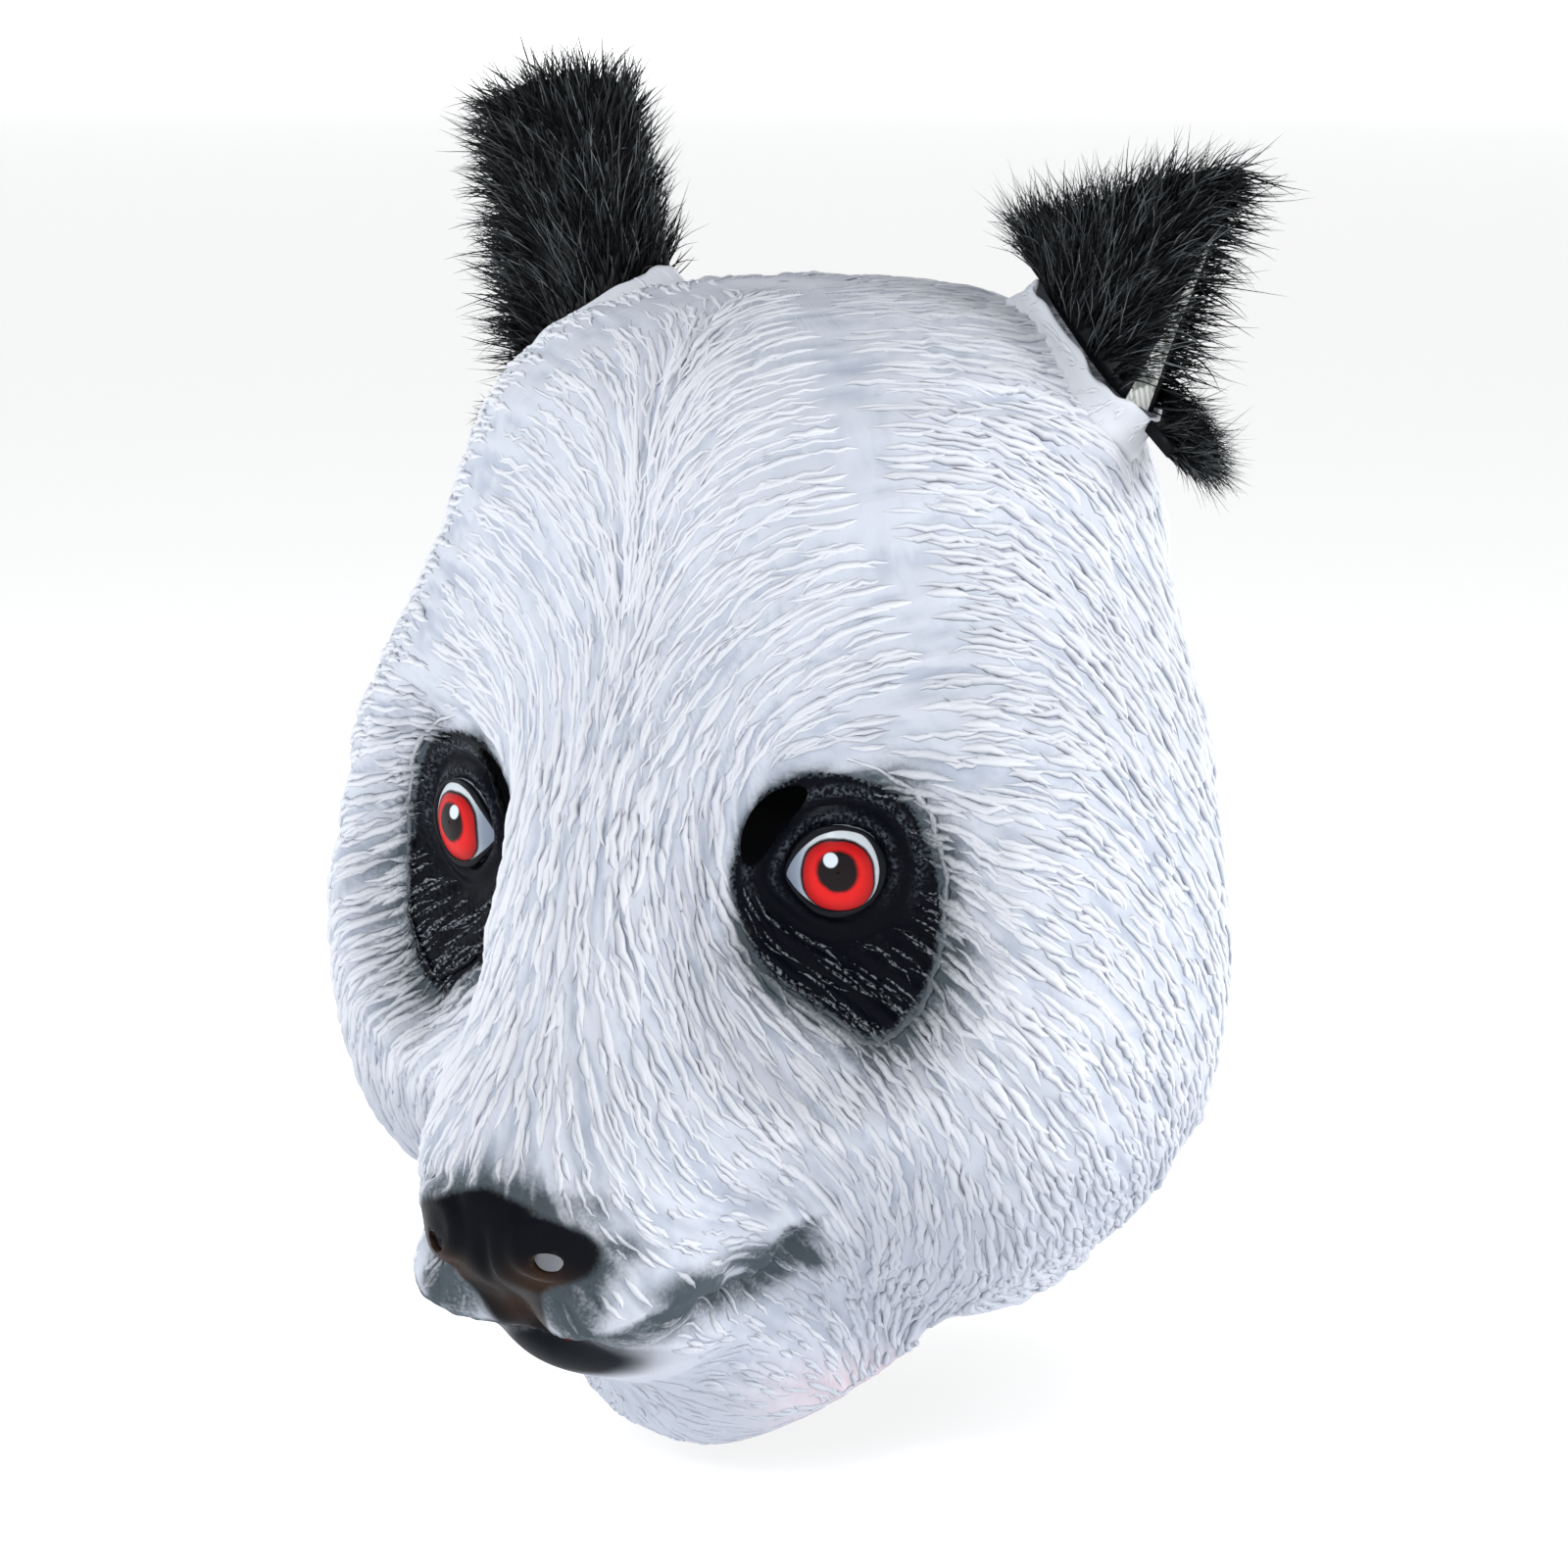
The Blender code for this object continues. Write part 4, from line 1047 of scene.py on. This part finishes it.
def eye_paint():
    """Sclera, iris, pupil and the painted highlight, from the place on the eyeball in millimetres."""
    paint = Paint("painted_eye", Coat_Weight=0.10, Coat_Roughness=0.08, Roughness=0.36,
                  Specular_IOR_Level=0.10)
    u, v = paint.attribute("outward"), paint.attribute("up")
    wobble = paint.noise(paint.place(), 260.0, 2.0) - 0.5

    def disc(cu, cv, radius, soft, power=2.0, rough=0.5):
        """1 inside a rounded square: the power-th root of the sum of both distances' powers."""
        reach = abs(u - cu) ** power + abs(v - cv) ** power
        return paint.step(reach ** (1.0 / power) + wobble * rough, radius + soft, radius - soft)

    white = paint.mix(paint.step(u, -7.0, -13.0), SCLERA_WHITE, SCLERA_SHADE)
    colour = paint.mix(disc(-0.6, -1.2, 10.5, 0.35, 2.3), white, IRIS_LINE)
    iris = paint.mix(disc(-0.4, -1.6, 8.6, 2.6, 2.2), IRIS_EDGE, IRIS_RED)
    colour = paint.mix(disc(-0.5, -1.4, 9.8, 0.30, 2.4), colour, iris)
    colour = paint.mix(disc(-0.4, 0.2, 5.9, 0.75, 2.0, 1.2), colour, PUPIL_BLACK)
    colour = paint.mix(disc(-2.3, 3.4, 2.05, 0.25, 2.0, 0.3), colour, HIGHLIGHT)
    paint.feed("Base Color", colour)
    return paint.material


def eyeball(hand, name, material):
    """Cap of a sphere that fills the outline between the lids and runs a little under them."""
    centre, across, up, out = eye_axes(hand)
    line = closed_curve(EYE_OUTLINE, EYE_SIDES) / 1000
    away = line / np.linalg.norm(line, axis=1, keepdims=True)
    share = np.linspace(0.0, 1.0, EYE_RINGS + 1)[1:]
    flat = (line + away * EYE_MARGIN)[None, :, :] * share[:, None, None]
    flat = np.vstack([flat.reshape(-1, 2), [[0.0, 0.0]]])
    ball = np.sqrt(np.clip(EYEBALL_RADIUS ** 2 - (flat ** 2).sum(1), 0.0, None)) - EYEBALL_RADIUS
    plane = centre + flat[:, :1] * across + flat[:, 1:] * up
    face, back = (plane + (ball + lift)[:, None] * out for lift in (CAP_LIFT, -EYEBALL_SINK))
    count = len(flat)
    points = np.vstack([face, back])
    faces = loop_quads(EYE_RINGS, EYE_SIDES)
    faces += [(count - 1, k, (k + 1) % EYE_SIDES) for k in range(EYE_SIDES)]
    faces += [tuple(k + count for k in reversed(face)) for face in faces]
    last = (EYE_RINGS - 1) * EYE_SIDES
    edge = [(last + k, last + (k + 1) % EYE_SIDES) for k in range(EYE_SIDES)]
    faces += [(after, before, before + count, after + count) for before, after in edge]
    if hand > 0:
        faces = [tuple(reversed(face)) for face in faces]
    both = np.vstack([flat, flat]) * 1000
    return mesh_piece(name, to_part(points), faces, material, outward=both[:, 0], up=both[:, 1])


def tube(path, radius, sides, closed):
    """Points and faces of a round bar along a path."""
    run = np.roll(path, -1, axis=0) - np.roll(path, 1, axis=0) if closed else np.gradient(path, axis=0)
    run /= np.linalg.norm(run, axis=1, keepdims=True)
    lead = np.cross(run, np.array([0.13, 0.31, 0.94]))
    lead /= np.linalg.norm(lead, axis=1, keepdims=True)
    other = np.cross(run, lead)
    turn = 2 * np.pi * np.arange(sides) / sides
    ring = np.cos(turn)[None, :, None] * lead[:, None, :] + np.sin(turn)[None, :, None] * other[:, None, :]
    points = path[:, None, :] + ring * np.reshape(radius, (-1, 1, 1))
    return points.reshape(-1, 3), loop_quads(len(path), sides, closed_rows=closed)


gloss = eye_paint()
lid_black = Paint("black_lid", Base_Color=LID_BLACK, Roughness=0.40, Specular_IOR_Level=0.12)
for hand, side_name in ((1, "left"), (-1, "right")):
    ball = eyeball(hand, "painted_eye_" + side_name, gloss)
    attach(ball, "root")
    centre, across, up, out = eye_axes(hand)
    line = closed_curve(EYE_OUTLINE, 120) / 1000
    on_ball = np.sqrt(EYEBALL_RADIUS ** 2 - (line ** 2).sum(1)) - EYEBALL_RADIUS
    path = centre + line[:, :1] * across + line[:, 1:] * up + (on_ball + RIM_LIFT)[:, None] * out
    angle = np.arctan2(line[:, 1], line[:, 0])
    points, faces = tube(path, RIM_RADIUS * (1.0 + 0.35 * np.sin(3 * angle + 1.0)), 8, True)
    lid = mesh_piece("lid_edge_" + side_name, to_part(points), faces, lid_black.material)
    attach(lid, "root")

# Ears: two panels of long black fur fabric back to back in each latex seat,
# glued at the foot, with the raw white weave showing at the outer edge.
LIP_WALL = 0.0018
LOWEST_LIP = 0.0030
EAR_HEIGHT = 0.060
PANEL_THICKNESS = 0.0060
FOOT_SPACING = 0.0100
STRIP_THICKNESS = 0.0012
TUFT_REACH = 0.0120
GAP = 0.0003
STRIP_TOP = 5 / 7        # the strip's top, as a share of the way up the panels
TUFT_ARC = (-85.0, -8.0)
HAIR_LENGTH = (0.010, 0.019)

# Ears' top corners, from the seat's centre: outward, back and up as shares of the
# ear's height. Ear, hand, the inner corner, then the outer corner
EARS = [
    ("left", 1, -0.44, 0.10, 0.52, 0.64, 0.24, 0.86),
    ("right", -1, -0.14, 0.13, 1.24, 0.76, 0.13, 1.12),
]


def seat_outline(hand, grow, angles):
    """Points of the seat's rounded outline in its own plane, grown by a distance."""
    centre, along, front, _ = seat_axes(hand)
    cos, sin = np.cos(angles), np.sin(angles)
    power = 2.0 / 3.0
    a = np.sign(cos) * np.abs(cos) ** power * (SEAT_WIDTH / 2 + grow)
    f = np.sign(sin) * np.abs(sin) ** power * (SEAT_DEPTH / 2 + grow)
    return centre + a[:, None] * along + f[:, None] * front


def drop_to_skin(points, normal, sink):
    """Points moved along the seat's axis until they lie a little under the skin."""
    high = np.full(len(points), 0.010)
    low = np.full(len(points), -0.060)
    for _ in range(16):
        middle = (high + low) / 2
        inside = head_distance(points + normal * middle[:, None]) < -sink
        low = np.where(inside, middle, low)
        high = np.where(inside, high, middle)
    return points + normal * low[:, None]


def lip_height(hand, angles):
    """The lip's top edge above the seat's plane, and its height above the skin, at each angle."""
    outer = seat_outline(hand, 0.0, angles)
    normal = seat_axes(hand)[3]
    foot = (drop_to_skin(outer, normal, 0.0) - outer) @ normal
    top = np.maximum(foot + LOWEST_LIP, 0.0)
    return top, top - foot


def lip_points(hand, steps):
    """Rows of the upright latex lip: up its flared outer side, over the edge and down the inside."""
    angles = 2 * np.pi * np.arange(steps) / steps
    normal = seat_axes(hand)[3]
    top, tall = (height[:, None] for height in lip_height(hand, angles))
    wave = 0.0007 * np.sin(5 * angles + 0.6)[:, None] + 0.0005 * np.sin(11 * angles)[:, None]
    outer, inner = seat_outline(hand, 0.0, angles), seat_outline(hand, -LIP_WALL, angles)
    rows = [drop_to_skin(seat_outline(hand, LIP_FLARE * 0.45, angles), normal, 0.0010)]
    for share in (0.90, 0.72, 0.52, 0.35, 0.18, 0.06):
        rows.append(seat_outline(hand, LIP_FLARE * 0.35 * share ** 3, angles) + normal * (top - tall * share))
    middle = (outer + inner) / 2
    edge = normal * (top + wave)
    rows += [outer * 0.8 + middle * 0.2 + edge, middle + edge + normal * 0.0004,
             inner * 0.8 + middle * 0.2 + edge, inner + normal * (top - tall * 0.3),
             drop_to_skin(inner, normal, 0.0015), drop_to_skin(outer, normal, 0.0015)]
    return np.array(rows)


def ear_sheet(hand, shares, side):
    """Function giving the inner face of a panel at (across, up), and its outward direction."""
    centre, along, front, normal = seat_axes(hand)
    reach = np.array(shares).reshape(2, 3) * EAR_HEIGHT * np.array([hand, 1.0, 1.0])
    inner_top, outer_top = centre + reach[0], centre + reach[1]
    facing = np.cross(outer_top - inner_top + along * SEAT_WIDTH, (inner_top + outer_top) / 2 - centre)
    facing *= np.sign(facing @ front) / np.linalg.norm(facing)

    def at(across, up):
        across, up = (np.asarray(value, float)[..., None] for value in (across, up))
        turn = smoothstep(0.0, 0.35, up)
        outward = front * (1 - turn) + facing * turn
        outward = outward / np.linalg.norm(outward, axis=-1, keepdims=True)
        foot = centre + along * across * SEAT_WIDTH * 0.44 + normal * GAP
        top = (inner_top + outer_top) / 2 + (outer_top - inner_top) / 2 * across
        top = top + normal * EAR_HEIGHT * 0.10 * (1 - across ** 2)
        apart = (1 - up) ** 1.3 * FOOT_SPACING / 2 + GAP / 2
        return foot * (1 - up) + top * up + outward * side * apart, outward * side

    return at


def panel_grid(at, rows, columns):
    """Outer face of a fur panel as a grid: a pad that is fullest in the middle."""
    up, across = np.meshgrid(np.linspace(0.0, 1.0, rows), np.linspace(-1.0, 1.0, columns), indexing="ij")
    inner, outward = at(across, up)
    thick = PANEL_THICKNESS * (1.0 - 0.35 * up) * (0.30 + 0.70 * (1 - across ** 4))
    return inner, inner + outward * thick[..., None], outward


def pad_mesh(inner, outer):
    """Closed pad between two grids of the same size."""
    rows, columns = inner.shape[:2]
    ring = np.concatenate([outer, inner[:, ::-1]], axis=1)
    faces = loop_quads(rows, 2 * columns)
    last = (rows - 1) * 2 * columns
    faces += [tuple(range(2 * columns))[::-1], tuple(range(last, last + 2 * columns))]
    return ring.reshape(-1, 3), faces


def lip_locks(rows, centre):
    """Sculpted locks that climb the lip's outer side, on the grid of its lower rows."""
    surface = rows[:8]
    around = np.roll(surface, -1, axis=1) - np.roll(surface, 1, axis=1)
    turned = np.cross(around, np.gradient(surface, axis=0))
    turned *= np.sign(((surface - centre) * turned).sum(-1, keepdims=True))
    many = 70
    i, j = random.uniform(0.0, 4.2, many), random.uniform(0.0, rows.shape[1], many)
    climb = random.uniform(1.6, 2.8, many)
    drift = random.normal(-2.0, 1.2, many)
    step = np.linspace(0.0, 1.0, LOCK_POINTS)
    i = np.clip(i[:, None] + climb[:, None] * step, 0.0, 6.8)
    j = j[:, None] + drift[:, None] * step ** 2
    path, side, lift = lock_frames(surface, turned, i, j)
    size = random.uniform(0.6, 1.2, (many, 1)) * LOCK_TAPER
    return bar_mesh(path, side, lift, LOCK_WIDTH * 0.6 * size, LOCK_HEIGHT * 0.3 * size, LOCK_PROFILE)


HAIR_PROFILE = [(-1.0, 0.0), (0.0, 1.0), (1.0, 0.0)]
HAIR_POINTS = 5


def fur_hairs(roots, lift, run, length, width, droop):
    """Tapered hairs: each leaves along a mix of outward and run, then bends towards run and down."""
    t = np.linspace(0.0, 1.0, HAIR_POINTS)[None, :, None]
    long = length[:, None, None]
    curl = random.normal(0.0, 0.20, (len(roots), 1, 3))
    path = (roots[:, None, :] + (lift * 0.42 + run)[:, None, :] * t * long
            + (curl - lift[:, None, :] * 0.30 + np.array([0, 0, -droop])) * t ** 2 * long)
    step = np.gradient(path, axis=1)
    side = np.cross(lift[:, None, :], step)
    side /= np.linalg.norm(side, axis=-1, keepdims=True) + 1e-12
    up = np.cross(step, side)
    up /= np.linalg.norm(up, axis=-1, keepdims=True) + 1e-12
    thin = width[:, None] * (1.0 - 0.93 * t[..., 0] ** 1.5)
    return bar_mesh(path, side, up, thin, thin * 0.9, HAIR_PROFILE)


FUR_BLACK = (0.0022, 0.0026, 0.0038)
# painted sheen on the tips of a few hairs
FUR_GLEAM = (0.30, 0.34, 0.36)


def fur_paint():
    """Black pile with painted sheen in blue-grey towards the tips of a few hairs."""
    paint = Paint("black_fur", Roughness=0.45, Specular_IOR_Level=0.14)
    paint.feed("Base Color", paint.mix(paint.attribute("tone"), FUR_BLACK, FUR_GLEAM))
    return paint.material


def fur_piece(name, pad, hairs):
    """A pad and its hairs as one piece; a few hairs carry painted sheen, most of all towards the tip."""
    count = len(hairs[0]) // (HAIR_POINTS * len(HAIR_PROFILE))
    points = np.vstack([pad[0], hairs[0]])
    faces = pad[1] + [tuple(k + len(pad[0]) for k in face) for face in hairs[1]]
    sheen_share = random.uniform(0, 1, (count, 1, 1)) ** 4.5
    tone = sheen_share * np.linspace(0.1, 1.0, HAIR_POINTS)[:, None] * np.ones(len(HAIR_PROFILE))
    made = mesh_piece(name + "_fur", to_part(points), faces, dark_fur,
                      tone=np.concatenate([np.zeros(len(pad[0])), tone.ravel()]))
    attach(made, "root")
    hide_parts(name)


def unit(vectors):
    """The same directions at length one."""
    return vectors / (np.linalg.norm(vectors, axis=-1, keepdims=True) + 1e-12)


def weave_paint():
    """Raw white weave in fine bands, with mossy stains."""
    paint = Paint("white_weave", Roughness=0.9)
    place = paint.place()
    threads = paint.node("ShaderNodeTexWave", {"wave_type": "BANDS"}, Vector=place, Scale=420.0)
    moss = paint.step(paint.noise(place, 160.0, 3.0), 0.50, 0.62)
    plain = paint.mix(threads, THREAD_GAP, THREAD_WHITE)
    paint.feed("Base Color", paint.mix(moss * 0.8, plain, MOSS_GREEN))
    paint.feed("Normal", paint.bump(threads, 0.6, 0.0003))
    return paint.material


THREAD_WHITE = (0.70, 0.71, 0.70)
THREAD_GAP = (0.42, 0.44, 0.42)
MOSS_GREEN = (0.045, 0.060, 0.045)
PANEL_HAIRS = 2300
TUFT_HAIRS = 1300
HAIR_THIN = 0.00016
dark_fur = fur_paint()
weave = weave_paint()

for ear, hand, *shares in EARS:
    centre, along, front, normal = seat_axes(hand)
    rows = lip_points(hand, 120)
    quads = loop_quads(len(rows), 120, closed_rows=True)
    if hand < 0:
        quads = [tuple(reversed(quad)) for quad in quads]
    raised, bars = lip_locks(rows, centre)
    plain = rows.reshape(-1, 3)
    quads += [tuple(k + len(plain) for k in face) for face in bars]
    # painted shade: the lip's plain rows a little grey like the shaded skin beside them, and each lock's
    # groove darker
    shade = np.tile([row[2] * 0.7 for row in LOCK_PROFILE], len(raised) // len(LOCK_PROFILE))
    points = np.vstack([plain, raised])
    lip = mesh_piece("ear_lip_" + ear, to_part(points), quads, shaded_lock_paint,
                     shade=np.concatenate([np.full(len(plain), 0.16), shade]), under=np.zeros(len(points)),
                     patch=np.full(len(points), 60.0), haze=np.zeros(len(points)))
    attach(lip, "root")

    for side, where in ((1, "front"), (-1, "back")):
        at = ear_sheet(hand, shares, side)
        inner, outer, outward = panel_grid(at, 20, 26)
        many = PANEL_HAIRS
        up, across = random.uniform(0.0, 1.0, many), random.uniform(-1.0, 1.0, many)
        foot, lift = at(across, up)
        thick = PANEL_THICKNESS * (1 - 0.35 * up) * (0.30 + 0.70 * (1 - across ** 4))
        rise = unit(at(across, np.minimum(up + 0.1, 1.0))[0] - at(across, up - 0.05)[0])
        fan = along * (0.10 + 0.95 * across[:, None] * np.abs(across[:, None]) ** 0.5)
        if side < 0:
            fan = fan + along * 0.55 * smoothstep(0.0, 1.0, across)[:, None]
        run = unit(rise * 0.8 + fan + random.normal(0.0, 0.16, (many, 3)))
        longer = 0.30 if hand > 0 else -0.12
        length = random.uniform(*HAIR_LENGTH, many) * (1.0 - 0.20 * up) * (1.0 + longer * across ** 4)
        hairs = fur_hairs(foot + lift * thick[:, None] * 0.9, lift, run, length,
                          random.uniform(HAIR_THIN, 0.00036, many), 0.05)
        fur_piece("ear_" + where + "_" + ear, pad_mesh(inner, outer), hairs)

    sheets = ear_sheet(hand, shares, 1), ear_sheet(hand, shares, -1)
    levels = np.linspace(0.0, STRIP_TOP, 24)
    inset = 1.0 - 2 * STRIP_THICKNESS / SEAT_WIDTH
    loops = []
    for across, pair in ((1.0, sheets), (inset, sheets[::-1])):
        for sheet in pair:
            point, outward = sheet(np.full(24, across), levels)
            loops.append(point - outward * GAP)
    grid = np.stack(loops, axis=1)
    faces = loop_quads(24, 4) + [(3, 2, 1, 0), (92, 93, 94, 95)]
    backing = mesh_piece("ear_weave_" + ear, to_part(grid.reshape(-1, 3)), faces, weave, smooth=False)
    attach(backing, "root")
    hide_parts("ear_backing_" + ear)

    angles = np.radians(np.linspace(*TUFT_ARC, 22))
    tall = lip_height(hand, angles)[1]
    loops = []
    for row in range(10):
        down_share = 0.02 + 0.34 * row / 9
        drop = normal * (tall * down_share)[:, None]
        grow = GAP + LIP_FLARE * down_share ** 2
        reach = TUFT_REACH * (0.45 + 0.55 * np.sin(np.pi * min(1.0, 0.35 + down_share)))
        loops.append(np.stack([seat_outline(hand, grow, angles) - drop,
                               seat_outline(hand, grow + reach, angles) - drop]))
    loops = np.array(loops)
    many = TUFT_HAIRS
    i, j, deep = random.uniform(0, 8.99, many), random.uniform(0, 20.99, many), np.ones(many)
    edge = random.uniform(size=many)
    i, j = np.where(edge < 0.18, 0.0, i), np.where(edge > 0.90, 0.0, j)
    deep = np.where((edge < 0.18) | (edge > 0.90), random.uniform(0.1, 1.0, many), 1.0)[:, None]
    root = sample(loops[:, 0], i, j) * (1 - deep) + sample(loops[:, 1], i, j) * deep
    away = root - centre
    away = unit(away - normal * (away @ normal)[:, None])
    away = unit(away + normal * 0.9 * (edge < 0.18)[:, None])
    lean = normal * 0.25 + np.array([hand * 0.30, 0.0, 0.0])
    run = unit(away * 0.75 + lean + random.normal(0.0, 0.30, (many, 3)))
    length = random.uniform(0.005, 0.015 if hand > 0 else 0.008, many)
    hairs = fur_hairs(root - away * 0.001, away, run, length, random.uniform(HAIR_THIN, 0.00034, many), 0.10)
    fur_piece("ear_tuft_" + ear, pad_mesh(loops[:, 0], loops[:, 1]), hairs)

# Stage: pale floor and backdrop, soft studio light and the photo's camera.
FLOOR_DROP = -0.345
FLOOR_REACH = 30.0
WALL_HEIGHT = 8.0        # the backdrop round the floor stands this high
CAMERA_AZIMUTH, CAMERA_ELEVATION, CAMERA_DISTANCE = 31.5, 11.0, 1.150
CAMERA_TARGET = np.array([0.0, 0.0, -0.148])
PHOTO_FOCAL, PHOTO_WIDTH = 3910.0, 1600.0    # in the photo's pixels
SENSOR_WIDTH = 36.0


# Each lamp's name, place, watts, width and colour
LAMPS = [
    ("key", (-0.1, -1.3, 1.0), 12.5, 0.45, (1.0, 1.0, 1.0)),
    ("fill", (1.45, 0.55, 0.10), 15.5, 0.90, (1.0, 1.0, 1.0)),
    ("rim", (-1.2, -0.3, 0.5), 3.5, 0.60, (0.9, 0.95, 1.0)),
]
LAMP_TARGET = (0.0, 0.0, -0.15)

floor_paint = Paint("pale_floor", Base_Color=(0.88, 0.88, 0.88), Roughness=0.9,
                    Emission_Color=(1.0, 1.0, 1.0), Emission_Strength=0.62)
corners = [(x * FLOOR_REACH, y * FLOOR_REACH, FLOOR_DROP + up)
           for up in (0.0, WALL_HEIGHT) for x, y in ((-1, -1), (1, -1), (1, 1), (-1, 1))]
walls = [(4 + k, 4 + (k + 1) % 4, (k + 1) % 4, k) for k in range(4)]
floor = mesh_piece("floor", corners, [(0, 1, 2, 3)] + walls, floor_paint.material, smooth=False)


def aimed(made, place, towards):
    """Object at a place, looking along a direction."""
    bpy.context.scene.collection.objects.link(made)
    made.location = place
    made.rotation_euler = mathutils.Vector(towards).to_track_quat("-Z", "Y").to_euler()
    return made


turn, tilt = np.radians(CAMERA_AZIMUTH), np.radians(CAMERA_ELEVATION)
back = np.array([np.sin(turn) * np.cos(tilt), -np.cos(turn) * np.cos(tilt), np.sin(tilt)])
camera_data = bpy.data.cameras.new("photo_camera")
camera_data.sensor_width = SENSOR_WIDTH
camera_data.lens = PHOTO_FOCAL / PHOTO_WIDTH * SENSOR_WIDTH
camera = bpy.data.objects.new("photo_camera", camera_data)
bpy.context.scene.camera = aimed(camera, CAMERA_TARGET + back * CAMERA_DISTANCE, -back)

world = bpy.data.worlds.new("studio")
bpy.context.scene.world = world
world.use_nodes = True
sky = world.node_tree.nodes["Background"].inputs
sky["Color"].default_value = (0.96, 0.98, 1.0, 1.0)
sky["Strength"].default_value = 0.27
for name, place, watts, width, colour in LAMPS:
    lamp = bpy.data.lights.new(name, "AREA")
    lamp.shape, lamp.size, lamp.energy, lamp.color = "DISK", width, watts, colour
    aimed(bpy.data.objects.new(name, lamp), place, np.subtract(LAMP_TARGET, place))
